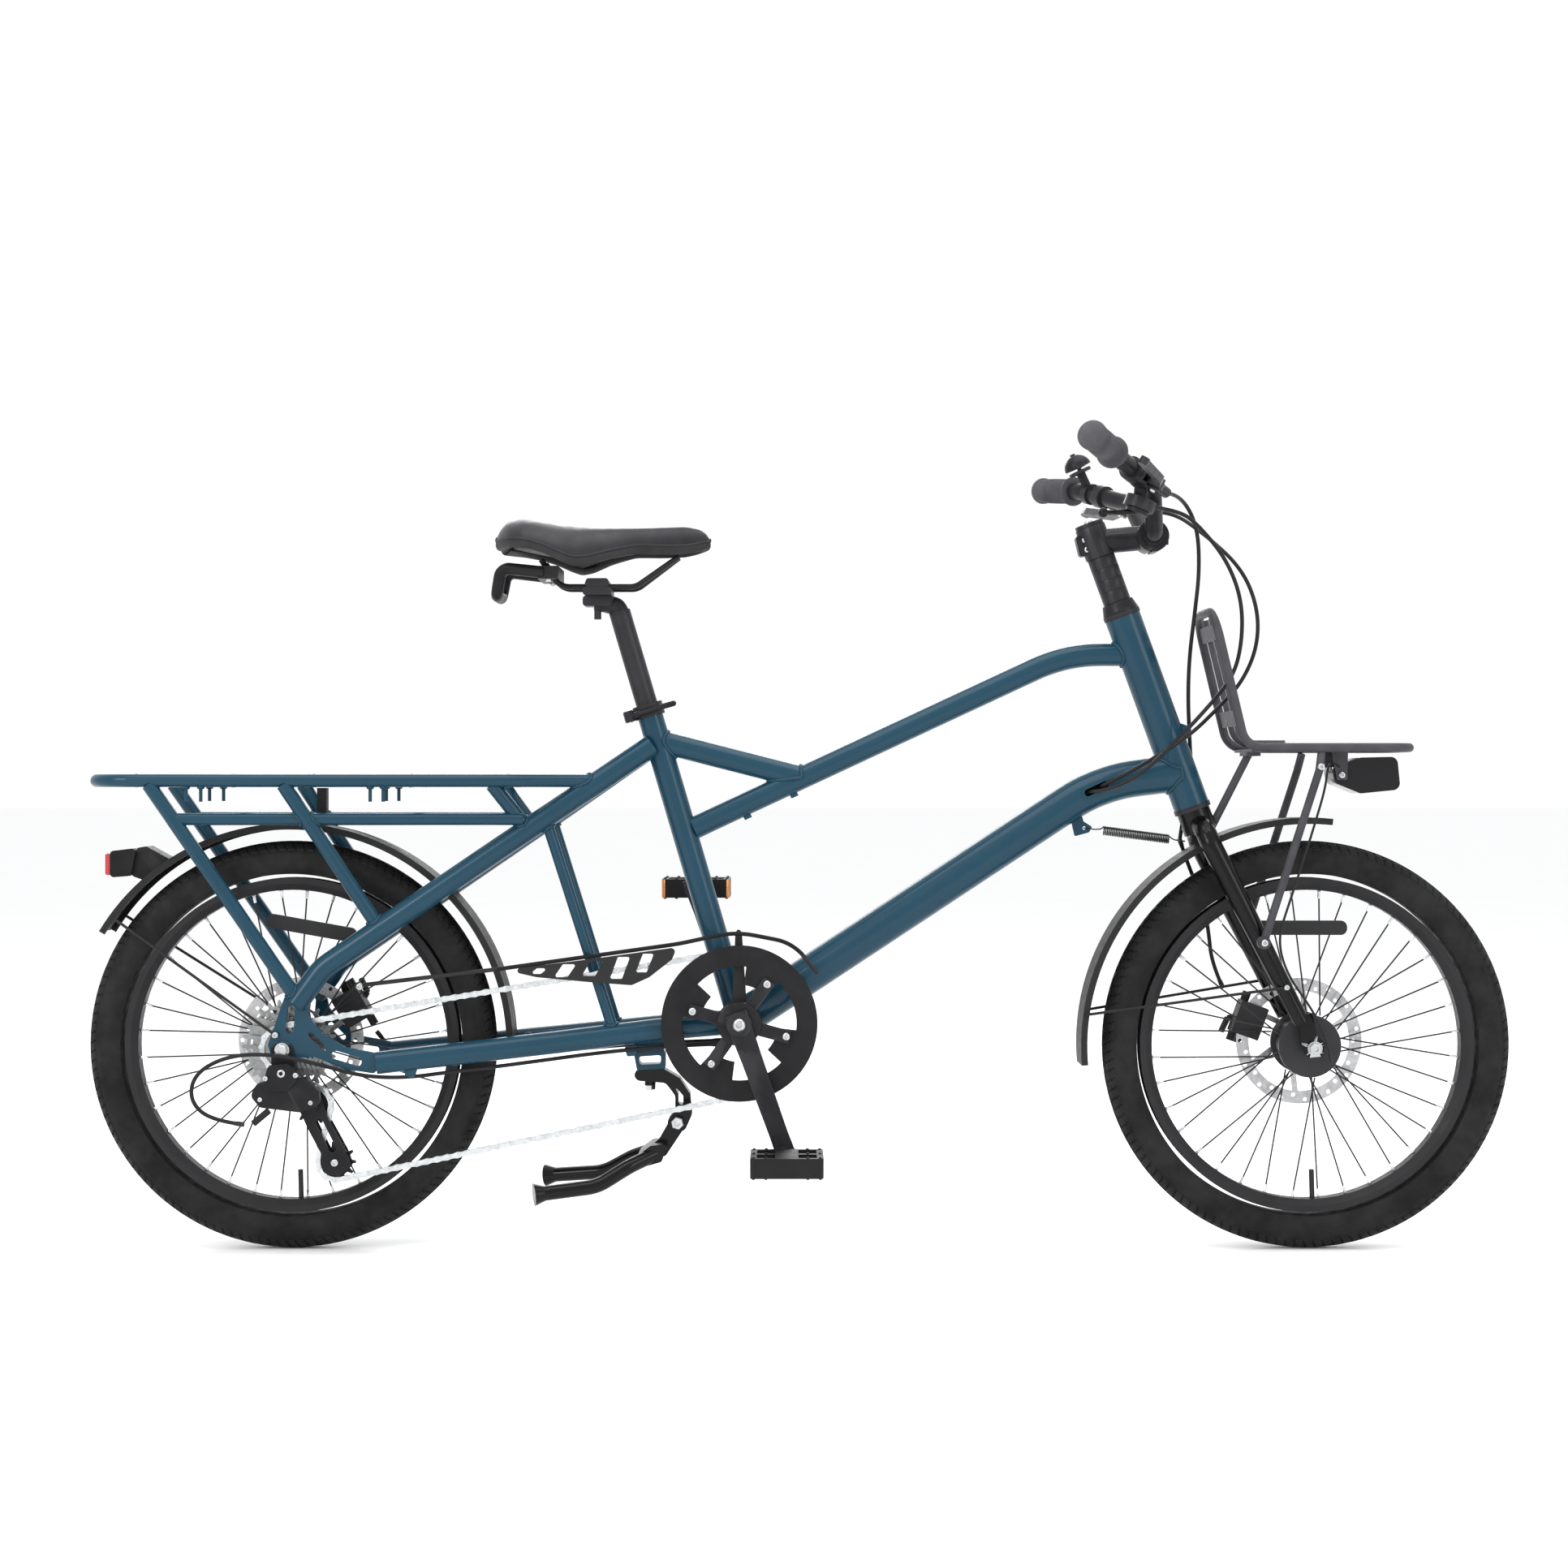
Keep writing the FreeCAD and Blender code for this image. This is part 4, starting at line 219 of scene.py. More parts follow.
TEAL = (0.008, 0.040, 0.066)
mats = {
    "teal": enamel("teal_enamel", TEAL),
    "weld": enamel("teal_weld", TEAL, 0.34),
    "black_gloss": enamel("black_gloss_paint", (0.003, 0.003, 0.0035), 0.24, 0.15),
    "guard_black": satin("mudguard_plastic", (0.004, 0.004, 0.0043), 0.5, 1100),
    "black_satin": satin("black_satin_coat", (0.008, 0.008, 0.009)),
    "black_anodised": satin("black_anodised_alloy", (0.014, 0.014, 0.016), 0.36, 2600, 0.3),
    "carrier_grey": satin("grey_powder_coat", (0.042, 0.042, 0.047), 0.5, 1300),
    "black_plastic": satin("moulded_black_plastic", (0.006, 0.006, 0.0065), 0.42, 900),
    "shiny_plastic": enamel("polished_black_plastic", (0.007, 0.007, 0.008), 0.16, 0.3),
    "steel": brushed("stainless_steel", (0.55, 0.56, 0.57)),
    "chain_steel": brushed("plated_chain_steel", (0.62, 0.65, 0.66), 0.32, scale=700),
    "sprocket_steel": brushed("phosphated_steel", (0.30, 0.31, 0.31), 0.38, scale=500),
    "aluminium": brushed("bare_alloy", (0.66, 0.66, 0.68), 0.24),
    "tyre": rubber("tyre_rubber", (0.008, 0.008, 0.0083), 0.68),
    "grip": rubber("grip_rubber", (0.055, 0.055, 0.06), 0.72),
    "cable": satin("cable_sleeve", (0.009, 0.009, 0.010), 0.34, 700),
    "saddle": vinyl("saddle_vinyl", (0.012, 0.012, 0.0145)),
    "saddle_base": satin("saddle_shell_plastic", (0.018, 0.018, 0.019), 0.5, 700),
    "lens": lens("clear_lens", (0.8, 0.82, 0.84), 0.75),
    "reflector": lens("white_reflector", (0.78, 0.8, 0.82), 1.0, 520.0, 0.2),
    "amber": lens("amber_reflector", (0.85, 0.27, 0.02), 1.0, 380.0, 0.2),
    "red_lens": lens("red_lens", (0.45, 0.012, 0.012), 1.0, 260.0),
    "rotor": brushed("rotor_steel", (0.5, 0.5, 0.51), 0.3, (1, 1, 1), 900),
}
TEAL_NODES = ("head_tube", "top_tube", "down_tube", "seat_tube", "upper_stays", "chain_stays", "dropouts",
              "rack_rail", "rack_frame")


# ---- finishes of the CAD nodes --------------------------------------------------------------------
def dress(node, name):
    """Gives a whole CAD node one material."""
    data = frame["nodes"][node].data
    data.materials.clear()
    data.materials.append(mats[name].mat)
    data.polygons.foreach_set("material_index", [0] * len(data.polygons))


def dress_where(node, name, test):
    """Gives the faces of a CAD node whose centres pass a test another material."""
    data = frame["nodes"][node].data
    data.materials.append(mats[name].mat)
    index = len(data.materials) - 1
    for face in data.polygons:
        if test(face.center):
            face.material_index = index


FINISH = {
    "black_gloss": ("fork", "stand", "stand_bracket"),
    "guard_black": ("front_mudguard", "rear_mudguard"),
    "black_satin": ("frame_bearings", "seat_clamp", "rear_caliper", "front_caliper", "derailleur",
                    "derailleur_cage", "front_rim", "rear_rim", "rear_caliper_arm", "front_caliper_arm",
                    "chainring", "saddle_rails",
                    "front_spokes", "rear_spokes"),
    "black_anodised": ("seatpost", "stem", "handlebar", "crankset", "clamp_lever", "front_hub",
                       "rear_hub", "right_brake_lever", "left_brake_lever", "bar_controls", "bell"),
    "carrier_grey": ("carrier_loop", "carrier_bars"),
    "black_plastic": ("chain_guard", "right_pedal", "left_pedal", "guide_pulley", "tension_pulley", "shift_lever",
                      "bell_lever", "tail_lamp"),
    "shiny_plastic": ("headlamp",),
    "sprocket_steel": ("freewheel",),
    "teal": TEAL_NODES,
}
for finish, nodes in FINISH.items():
    for node in nodes:
        dress(node, finish)

front, rear = pivot("front_wheel_spin"), pivot("rear_wheel_spin")
for node, centre in (("front_hub", front), ("rear_hub", rear)):
    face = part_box(node)[1].y - 3 * MM  # the rotor is on the hub's left end
    dress_where(node, "rotor", lambda c, p=centre, y=face: c.y > y
                and math.hypot(c.x - p.x, c.z - p.z) > 21 * MM)
for node, centre, half in (("fork", front, 56 * MM), ("dropouts", rear, 73.6 * MM)):
    dress_where(node, "steel", lambda c, p=centre, h=half: abs(c.y) > h
                and math.hypot(c.x - p.x, c.z - p.z) < 9.5 * MM)
for node, centre in (("front_spokes", front), ("rear_spokes", rear)):
    dress_where(node, "reflector", lambda c, p=centre: abs(c.y) < 2.55 * MM and 118 * MM < c.z - p.z < 172 * MM
                and abs(c.x - p.x - (-8 * MM if p.x > 0 else 26 * MM)) < 62 * MM and abs(c.y) > 2.4 * MM)
for node in ("right_pedal", "left_pedal"):
    low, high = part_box(node)
    mid = (low + high) / 2
    dress_where(node, "amber", lambda c, m=mid, n=low, h=high: abs(abs(c.x - m.x) - 41.6 * MM) < 1.9 * MM
                and abs(c.z - m.z) < 7.05 * MM and n.y + 15 * MM < c.y < h.y - 15 * MM)
lamp_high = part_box("headlamp")[1]
dress_where("headlamp", "lens", lambda c: c.x > lamp_high.x - 4.6 * MM and abs(c.y) < 21.7 * MM)
tail_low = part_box("tail_lamp")[0]
dress_where("tail_lamp", "red_lens", lambda c: c.x < tail_low.x + 5.9 * MM)


def soften(node, width, angle=38):
    """Rounds a CAD node's sharp edges."""
    obj = frame["nodes"][node]
    weld = obj.modifiers.new("weld", "WELD")
    weld.merge_threshold = 0.00001
    bevel = obj.modifiers.new("bevel", "BEVEL")
    bevel.width = width
    bevel.segments = 2
    bevel.limit_method = "ANGLE"
    bevel.angle_limit = math.radians(angle)
    bevel.use_clamp_overlap = True
    bevel.harden_normals = True


for node in ("crankset", "stem", "derailleur", "derailleur_cage", "front_caliper", "rear_caliper", "chainring",
             "right_pedal", "left_pedal", "dropouts", "headlamp", "tail_lamp", "stand_bracket", "clamp_lever",
             "chain_guard"):
    soften(node, 0.6 * MM)


# ---- mesh helpers ---------------------------------------------------------------------------------
def piece(name, verts, faces, material, body, smooth=True):
    """New mesh piece in the row frame, riding on a CAD body."""
    mesh = bpy.data.meshes.new(name)
    mesh.from_pydata([tuple(v) for v in verts], [], [tuple(f) for f in faces])
    mesh.materials.append(mats[material].mat)
    if smooth:
        mesh.shade_smooth()
    mesh.validate()
    obj = bpy.data.objects.new(name, mesh)
    bpy.context.collection.objects.link(obj)
    if body:
        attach(obj, body)
    return obj


class Build:
    """Collects verts and faces of many small shapes into one piece."""

    def __init__(self):
        self.verts, self.faces = [], []

    def add(self, verts, faces):
        base = len(self.verts)
        self.verts += [tuple(v) for v in verts]
        self.faces += [tuple(i + base for i in f) for f in faces]

    def piece(self, name, material, body, smooth=True, auto=None):
        obj = piece(name, self.verts, self.faces, material, body, smooth)
        if auto:
            obj.data.set_sharp_from_angle(angle=math.radians(auto))
        return obj


def frame_of(axis):
    """Two unit vectors square to an axis."""
    axis = Vector(axis).normalized()
    u = axis.orthogonal().normalized()
    return u, axis.cross(u)


def lathe(profile, centre, axis, count=24, closed=True):
    """Verts and faces of a profile of (distance along axis, radius) turned about an axis."""
    axis = Vector(axis).normalized()
    u, w = frame_of(axis)
    verts, faces = [], []
    for d, r in profile:
        for k in range(count):
            a = 2 * math.pi * k / count
            verts.append(Vector(centre) + axis * d + (u * math.cos(a) + w * math.sin(a)) * r)
    for i in range(len(profile) - 1):
        for k in range(count):
            a, b = i * count + k, i * count + (k + 1) % count
            faces.append((a, b, b + count, a + count))
    if closed:
        faces.append(tuple(reversed(range(count))))
        faces.append(tuple(range((len(profile) - 1) * count, len(profile) * count)))
    return verts, faces


def sweep(points, radius, count=10, closed=False, caps=True):
    """Verts and faces of a round tube along points. The radius may be a number or one per point."""
    pts = [Vector(p) for p in points]
    n = len(pts)
    radii = [radius] * n if isinstance(radius, (int, float)) else list(radius)
    verts, faces, u = [], [], None
    for i, p in enumerate(pts):
        before = pts[i - 1] if closed or i else pts[0]
        after = pts[(i + 1) % n] if closed or i < n - 1 else pts[-1]
        t = (after - before).normalized()
        u = t.orthogonal().normalized() if u is None else (u - t * u.dot(t)).normalized()
        w = t.cross(u)
        for k in range(count):
            a = 2 * math.pi * k / count
            verts.append(p + (u * math.cos(a) + w * math.sin(a)) * radii[i])
    for i in range(n if closed else n - 1):
        j = (i + 1) % n
        for k in range(count):
            a, b = i * count + k, i * count + (k + 1) % count
            c, d = j * count + (k + 1) % count, j * count + k
            faces.append((a, b, c, d))
    if caps and not closed:
        faces.append(tuple(reversed(range(count))))
        faces.append(tuple(range((n - 1) * count, n * count)))
    return verts, faces


def bolt_shape(at, axis, r, high=None, hexagon=False):
    """Button-head bolt with a hexagon socket, or a hexagon nut."""
    high = high or r * 0.8
    if hexagon:
        nut = [(0, r), (high * 0.85, r), (high, r * 0.86), (high, r * 0.5), (high * 0.5, r * 0.46)]
        return lathe(nut, at, axis, 6)
    head = [(0, r), (high * 0.45, r), (high * 0.8, r * 0.86), (high, r * 0.6), (high, r * 0.42),
            (high * 0.35, r * 0.4)]
    return lathe(head, at, axis, 18)


# ---- weld beads -----------------------------------------------------------------------------------
def islands(obj):
    """Separate solids of a CAD node: (merged vertices, triangles) of each."""
    data = obj.data
    co = np.empty(len(data.vertices) * 3, np.float32)
    data.vertices.foreach_get("co", co)
    keys = np.round(co.reshape(-1, 3) * 1e6).astype(np.int64)
    unique, inverse = np.unique(keys, axis=0, return_inverse=True)
    inverse = inverse.reshape(-1)
    data.calc_loop_triangles()
    flat = np.empty(len(data.loop_triangles) * 3, np.int32)
    data.loop_triangles.foreach_get("vertices", flat)
    tris = inverse[flat].reshape(-1, 3)
    parent = list(range(len(unique)))

    def root(i):
        while parent[i] != i:
            parent[i] = parent[parent[i]]
            i = parent[i]
        return i

    for a, b, c in tris.tolist():
        parent[root(a)] = root(b)
        parent[root(b)] = root(c)
    groups = {}
    for t in tris.tolist():
        if len(set(t)) == 3:
            groups.setdefault(root(t[0]), []).append(t)
    return [(unique / 1e6, np.array(g)) for g in groups.values()]


def corner_loops(verts, tris, others):
    """Chains of a solid's outer sharp edges that lie on another solid: [(points, outward directions)]."""
    normals = np.cross(verts[tris[:, 1]] - verts[tris[:, 0]], verts[tris[:, 2]] - verts[tris[:, 0]])
    normals /= np.maximum(np.linalg.norm(normals, axis=1, keepdims=True), 1e-18)
    sides = {}
    for i, t in enumerate(tris):
        for a, b in ((t[0], t[1]), (t[1], t[2]), (t[2], t[0])):
            sides.setdefault((min(a, b), max(a, b)), []).append(i)
    near, links = {}, {}
    for (a, b), faces in sides.items():
        if len(faces) != 2 or normals[faces[0]] @ normals[faces[1]] > 0.9:
            continue
        hits = []
        for v in (a, b):
            if v not in near:
                spot = Vector(verts[v])
                found = [tree.find_nearest(spot, TOUCH) for tree, low, high in others
                         if all(low[i] < spot[i] < high[i] for i in range(3))]
                near[v] = min((hit for hit in found if hit[0]), key=lambda hit: hit[3], default=None)
            hits.append(near[v])
        if None in hits:
            continue
        touch = Vector(hits[0][1])
        wall = min(faces, key=lambda f: abs(Vector(normals[f]).dot(touch)))
        links.setdefault(a, {})[b] = normals[wall]
        links.setdefault(b, {})[a] = normals[wall]
    loops, used = [], set()
    for start in links:
        if start in used:
            continue
        line, spot = [start], start
        used.add(start)
        while True:
            step = [v for v in links[spot] if v not in used]
            if not step:
                break
            spot = step[0]
            used.add(spot)
            line.append(spot)
        if len(line) < 8:
            continue
        points = np.array([verts[v] for v in line])
        outs = np.array([next(iter(links[v].values())) for v in line])
        ends_meet = np.linalg.norm(points[0] - points[-1]) < 0.004
        if np.mean(np.sum((points - points.mean(0)) * outs, axis=1)) > 0.002 and ends_meet:
            loops.append((points, outs, [near[v][1] for v in line]))
    return loops


def weld_beads():
    """Rippled bead round every joint between the frame's tubes."""
    solids = []
    for node in TEAL_NODES:
        for verts, tris in islands(frame["nodes"][node]):
            tree = BVHTree.FromPolygons(verts.tolist(), tris.tolist())
            used = verts[np.unique(tris)]
            solids.append((verts, tris, (tree, used.min(0) - 0.5 * MM, used.max(0) + 0.5 * MM)))
    beads, lengths = Build(), []
    for k, (verts, tris, _) in enumerate(solids):
        others = [s[2] for j, s in enumerate(solids) if j != k]
        for points, outs, touches in corner_loops(verts, tris, others):
            n = len(points)
            away = np.array([np.array(outs[i]) + np.array(touches[i]) for i in range(n)])
            away /= np.maximum(np.linalg.norm(away, axis=1, keepdims=True), 1e-9)
            closed = np.vstack([points, points[:1]])
            seg = np.linalg.norm(np.diff(closed, axis=0), axis=1)
            s = np.concatenate([[0], np.cumsum(seg)])
            total = s[-1]
            count = max(24, int(total / (0.9 * MM)))
            at = np.linspace(0, total, count, endpoint=False)
            line = np.stack([np.interp(at, s, closed[:, c]) for c in range(3)], 1)
            lift = np.stack([np.interp(at, s, np.append(away[:, c], away[0, c])) for c in range(3)], 1)
            for _ in range(3):
                line = (np.roll(line, 1, 0) + line * 2 + np.roll(line, -1, 0)) / 4
            ripple = 0.5 + 0.5 * np.cos(2 * np.pi * at / (total / max(6, round(total / RIPPLE_PITCH))))
            size = BEAD_R + BEAD_RIPPLE * ripple + 0.12 * MM * rng.standard_normal(count)
            beads.add(*sweep(line + lift * 0.35 * MM, size, 8, closed=True))
            lengths.append(total)
    print(f"weld beads: {len(lengths)} joints, {sum(lengths):.2f} m")
    return beads.piece("weld_beads", "weld", "frame")


weld_beads()


# ---- tyres ----------------------------------------------------------------------------------------
def tread(theta, s):
    """Height of the tread above the casing. theta runs round the wheel in pattern repeats; s is from -1 to 1
    across the crown."""
    wave = 0.10 * math.sin(2 * math.pi * theta)
    side = abs(s)
    groove = abs(side - 0.30 - wave * 0.5) < 0.045
    repeat = (theta * 2 + side * 0.55 + (0.5 if s > 0 else 0)) % 1.0
    lateral = side > 0.36 and repeat < 0.17
    notch = side < 0.26 and (theta * 2 + s * 0.8) % 1.0 < 0.07
    return 0.0 if groove or lateral or notch or side > 1 else 1.0


def tyre(name, centre, node, body):
    """Tyre with a block tread, moulded sidewall ribs and beads, in place of the plain CAD casing."""
    low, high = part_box(node)
    outer, half = (high.z - low.z) / 2, (high.y - low.y) / 2
    mid = outer - half - 0.4 * MM
    around, repeats, depth = 792, 66, 1.9 * MM
    section = []
    crown = 30
    for k in range(crown + 1):
        s = -1.06 + 2.12 * k / crown
        section.append((s * 52, half - depth, s))
    for a in (58, 63, 69, 76, 84, 93, 102, 112, 121, 128):
        rib = 0.35 * MM if a in (69, 93, 112) else 0.0
        bulge = half - 1.0 * MM + rib
        section.insert(0, (-a, bulge, None))
        section.append((a, bulge, None))
    profile = [(a, r, s) for a, r, s in section]
    verts = []
    for i in range(around):
        theta = 2 * math.pi * i / around
        for a, r, s in profile:
            radius = r
            if s is not None:
                radius += depth * tread(repeats * i / around, s) if abs(s) <= 1 else depth * 0.35
            q = math.radians(a)
            reach = mid + radius * math.cos(q)
            verts.append((centre.x + reach * math.cos(theta), centre.y + radius * math.sin(q),
                          centre.z + reach * math.sin(theta)))
    n = len(profile)
    faces = []
    for i in range(around):
        j = (i + 1) % around
        faces += [(i * n + k, i * n + k + 1, j * n + k + 1, j * n + k) for k in range(n - 1)]
        faces.append((i * n + n - 1, i * n, j * n, j * n + n - 1))
    obj = piece(name, verts, faces, "tyre", body)
    obj.data.set_sharp_from_angle(angle=math.radians(35))
    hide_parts(node)
    return obj


tyre("front_tyre_tread", front, "front_tyre", "front_wheel")
tyre("rear_tyre_tread", rear, "rear_tyre", "rear_wheel")


# ---- saddle ---------------------------------------------------------------------------------------
def eased(table, xs):
    """A table's values at xs, with its corners rounded."""
    fine = np.linspace(xs[0], xs[-1], 400)
    values = np.interp(fine, [p[0] for p in table], [p[1] for p in table])
    kernel = np.hanning(23)
    padded = np.pad(values, 11, mode="reflect", reflect_type="odd")
    return np.interp(xs, fine, np.convolve(padded, kernel / kernel.sum(), "valid"))


SADDLE_TOP = [(0.0, 0.62), (0.015, 0.78), (0.05, 0.95), (0.12, 1.0), (0.2, 0.96), (0.3, 0.885), (0.38, 0.85),
              (0.5, 0.845), (0.62, 0.862), (0.79, 0.877), (0.88, 0.874), (0.95, 0.82), (0.985, 0.72), (1.0, 0.6)]
SADDLE_SEAM = [(0.0, 0.51), (0.08, 0.525), (0.16, 0.48), (0.24, 0.38), (0.31, 0.245), (0.37, 0.15), (0.43, 0.18),
               (0.54, 0.33), (0.66, 0.45), (0.79, 0.44), (0.89, 0.45), (0.95, 0.50), (1.0, 0.56)]
SADDLE_HALF = [(0.0, 0.34), (0.02, 0.52), (0.07, 0.8), (0.14, 0.97), (0.24, 1.0), (0.33, 0.93), (0.42, 0.76),
               (0.52, 0.53), (0.62, 0.38), (0.72, 0.30), (0.84, 0.25), (0.93, 0.22), (0.98, 0.15), (1.0, 0.07)]


def saddle():
    """Padded cover with a channel down its middle, a sewn edge and the plastic shell's skirt below it."""
    low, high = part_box("saddle")
    length, width, height = high.x - low.x, (high.y - low.y) / 2, high.z - low.z
    rows = 96
    t = 0.5 - 0.5 * np.cos(np.linspace(0, np.pi, rows))
    top = low.z + height * eased(SADDLE_TOP, t)
    seam = low.z + height * eased(SADDLE_SEAM, t)
    half = width * eased(SADDLE_HALF, t)
    across = 33
    pad, skirt = Build(), Build()
    verts, faces = [], []
    for i in range(rows):
        for k in range(across):
            q = -1 + 2 * k / (across - 1)
            e = abs(math.sin(q * math.pi / 2))
            y = half[i] * math.copysign(e, q) * (1 + 0.02 * math.sin(e * math.pi))
            round_off = (1 - (1 - e ** 2.6) ** 0.62)
            fade = math.sin(math.pi * min(1, max(0, (t[i] - 0.05) / 0.85)))
            dish = 3.4 * MM * math.exp(-(y / (13 * MM)) ** 2) * fade
            z = top[i] - (top[i] - seam[i]) * round_off - dish
            verts.append((low.x + length * t[i], y, z))
    for i in range(rows - 1):
        for k in range(across - 1):
            a = i * across + k
            faces.append((a, a + across, a + across + 1, a + 1))
    pad.add(verts, faces)
    rings = [[i * across for i in range(rows)], [i * across + across - 1 for i in range(rows)]]
    last_row = rows * across - across
    edge = [Vector(verts[i]) for i in rings[0]]
    edge += [Vector(verts[last_row + k]) for k in range(1, across)]
    edge += [Vector(verts[i]) for i in reversed(rings[1][:-1])]
    edge += [Vector(verts[k]) for k in range(across - 2, 0, -1)]
    middle = Vector((low.x + length * 0.45, 0, 0))
    drops = [(0.0, 0.0, 0.0), (0.9, 0.8, 0.0), (0.0, 1.6, 0.1), (-0.1, 5.0, 0.55), (1.6, 8.6, 0.95), (4.5, 10.6, 1.0),
             (8.5, 10.0, 1.0), (11.0, 7.0, 1.0), (16.0, 3.0, 1.0)]
    ring_verts, count = [], len(edge)
    for inset, drop, _ in drops:
        for p in edge:
            flat = Vector((p.x - middle.x, p.y, 0))
            inward = flat.normalized()
            q = p - inward * inset * MM
            q.z = p.z - drop * MM
            if abs(q.y) > abs(p.y):
                q.y = p.y
            ring_verts.append(q)
    ring_faces = []
    for r in range(len(drops) - 1):
        for k in range(count):
            a, b = r * count + k, r * count + (k + 1) % count
            ring_faces.append((a, a + count, b + count, b))
    floor_at = (len(drops) - 1) * count
    ring_faces.append(tuple(range(floor_at, floor_at + count)))
    skirt.add(ring_verts, ring_faces)
    cover = pad.piece("saddle_cover", "saddle", "seat")
    solid = cover.modifiers.new("thick", "SOLIDIFY")
    solid.thickness, solid.offset = 2 * MM, -1
    shell = skirt.piece("saddle_shell", "saddle_base", "seat")
    thread = Build()
    line = [p + Vector((0, 0, 1.5 * MM)) for p in edge]
    thread.add(*sweep(line, 0.85 * MM, 6, closed=True))
    piping = thread.piece("saddle_piping", "saddle_base", "seat")
    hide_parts("saddle")
    return cover, shell, piping


saddle()


# ---- chain, link by link --------------------------------------------------------------------------
def tooth_circle(teeth):
    """Pitch radius of a chain wheel."""
    return PITCH / 2 / math.sin(math.pi / teeth)


def belt_tangent(a, ra, b, rb):
    """Ends of the straight run between two circles in X-Z. A radius's sign picks the side it passes."""
    d = Vector((b.x - a.x, 0, b.z - a.z))
    length = d.length
    d.normalize()
    side = Vector((-d.z, 0, d.x))
    s = (ra - rb) / length
    normal = d * s + side * math.sqrt(1 - s * s)
    return a + normal * ra, b + normal * rb


def chain_route():
    """The pin line of the chain: a function of length along it, and its whole length."""
    ring_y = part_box("chainring")[1].y - 0.85 * MM
    cog_y = (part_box("guide_pulley")[0].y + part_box("guide_pulley")[1].y) / 2
    stops = []
    for joint, y, sign in (("freewheel_spin", cog_y, 1), ("crank_spin", ring_y, 1), ("tension_pulley_spin", cog_y, 1),
                           ("guide_pulley_spin", cog_y, -1)):
        at = pivot(joint)
        stops.append((Vector((at.x, y, at.z)), sign * tooth_circle(TEETH[joint])))
    runs = [belt_tangent(*stops[i], *stops[(i + 1) % 4]) for i in range(4)]
    parts = []
    for i in range(4):
        parts.append(("line", *runs[i], (runs[i][1] - runs[i][0]).length))
        centre, r = stops[(i + 1) % 4]
        start, end = runs[i][1] - centre, runs[(i + 1) % 4][0] - centre
        a0, a1 = math.atan2(start.z, start.x), math.atan2(end.z, end.x)
        turn = (a0 - a1) % (2 * math.pi) if r > 0 else -((a1 - a0) % (2 * math.pi))
        parts.append(("arc", centre, (abs(r), a0, turn), abs(r * turn)))
    total = sum(p[3] for p in parts)

    def at(s):
        s %= total
        for kind, a, b, length in parts:
            if s <= length:
                if kind == "line":
                    return a.lerp(b, s / length)
                r, a0, turn = b
                q = a0 - turn * s / length
                return Vector((a.x + r * math.cos(q), a.y, a.z + r * math.sin(q)))
            s -= length
        return at(0)

    return at, total


def link_plate(p, q, y0, y1, waist):
    """Waisted side plate between two pins."""
    along_it = Vector((q.x - p.x, 0, q.z - p.z)).normalized()
    side = Vector((-along_it.z, 0, along_it.x))
    rim, end = [], 3.9 * MM
    for base, sign in ((p, -1), (q, 1)):
        for k in range(7):
            a = math.radians(-78 + 26 * k)
            rim.append(base + along_it * (sign * end * math.cos(a)) + side * (sign * end * math.sin(a)))
        middle = (p + q) / 2
        rim.append(middle + side * (sign * waist))
    n = len(rim)
    verts = [v + Vector((0, y, 0)) for y in (y0, y1) for v in rim]
    faces = [tuple(range(n)), tuple(reversed(range(n, 2 * n)))]
    faces += [(k, k + n, (k + 1) % n + n, (k + 1) % n) for k in range(n)]
    return verts, faces


def chain():
    """Bushing chain of alternate inner and outer links."""
    at, total = chain_route()
    count = 2 * round(total / PITCH / 2)
    plates, pins = Build(), Build()
    for i in range(count):
        p, q = at(total * i / count), at(total * (i + 1) / count)
        low, high, waist = (1.75 * MM, 2.5 * MM, 2.7 * MM) if i % 2 else (2.6 * MM, 3.35 * MM, 2.9 * MM)
        for y0, y1 in ((low, high), (-high, -low)):
            plates.add(*link_plate(p, q, y0, y1, waist))
        pins.add(*lathe([(-1.7 * MM, 3.4 * MM), (1.7 * MM, 3.4 * MM)], p, (0, 1, 0), 12))
        pin = [(-3.6 * MM, 1.3 * MM), (-3.4 * MM, 1.7 * MM), (3.4 * MM, 1.7 * MM), (3.6 * MM, 1.3 * MM)]
        pins.add(*lathe(pin, p, (0, 1, 0), 10))
    links = plates.piece("chain_plates", "chain_steel", "frame", smooth=False)
    pins.piece("chain_rollers", "chain_steel", "frame", auto=40)
    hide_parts("chain")


chain()


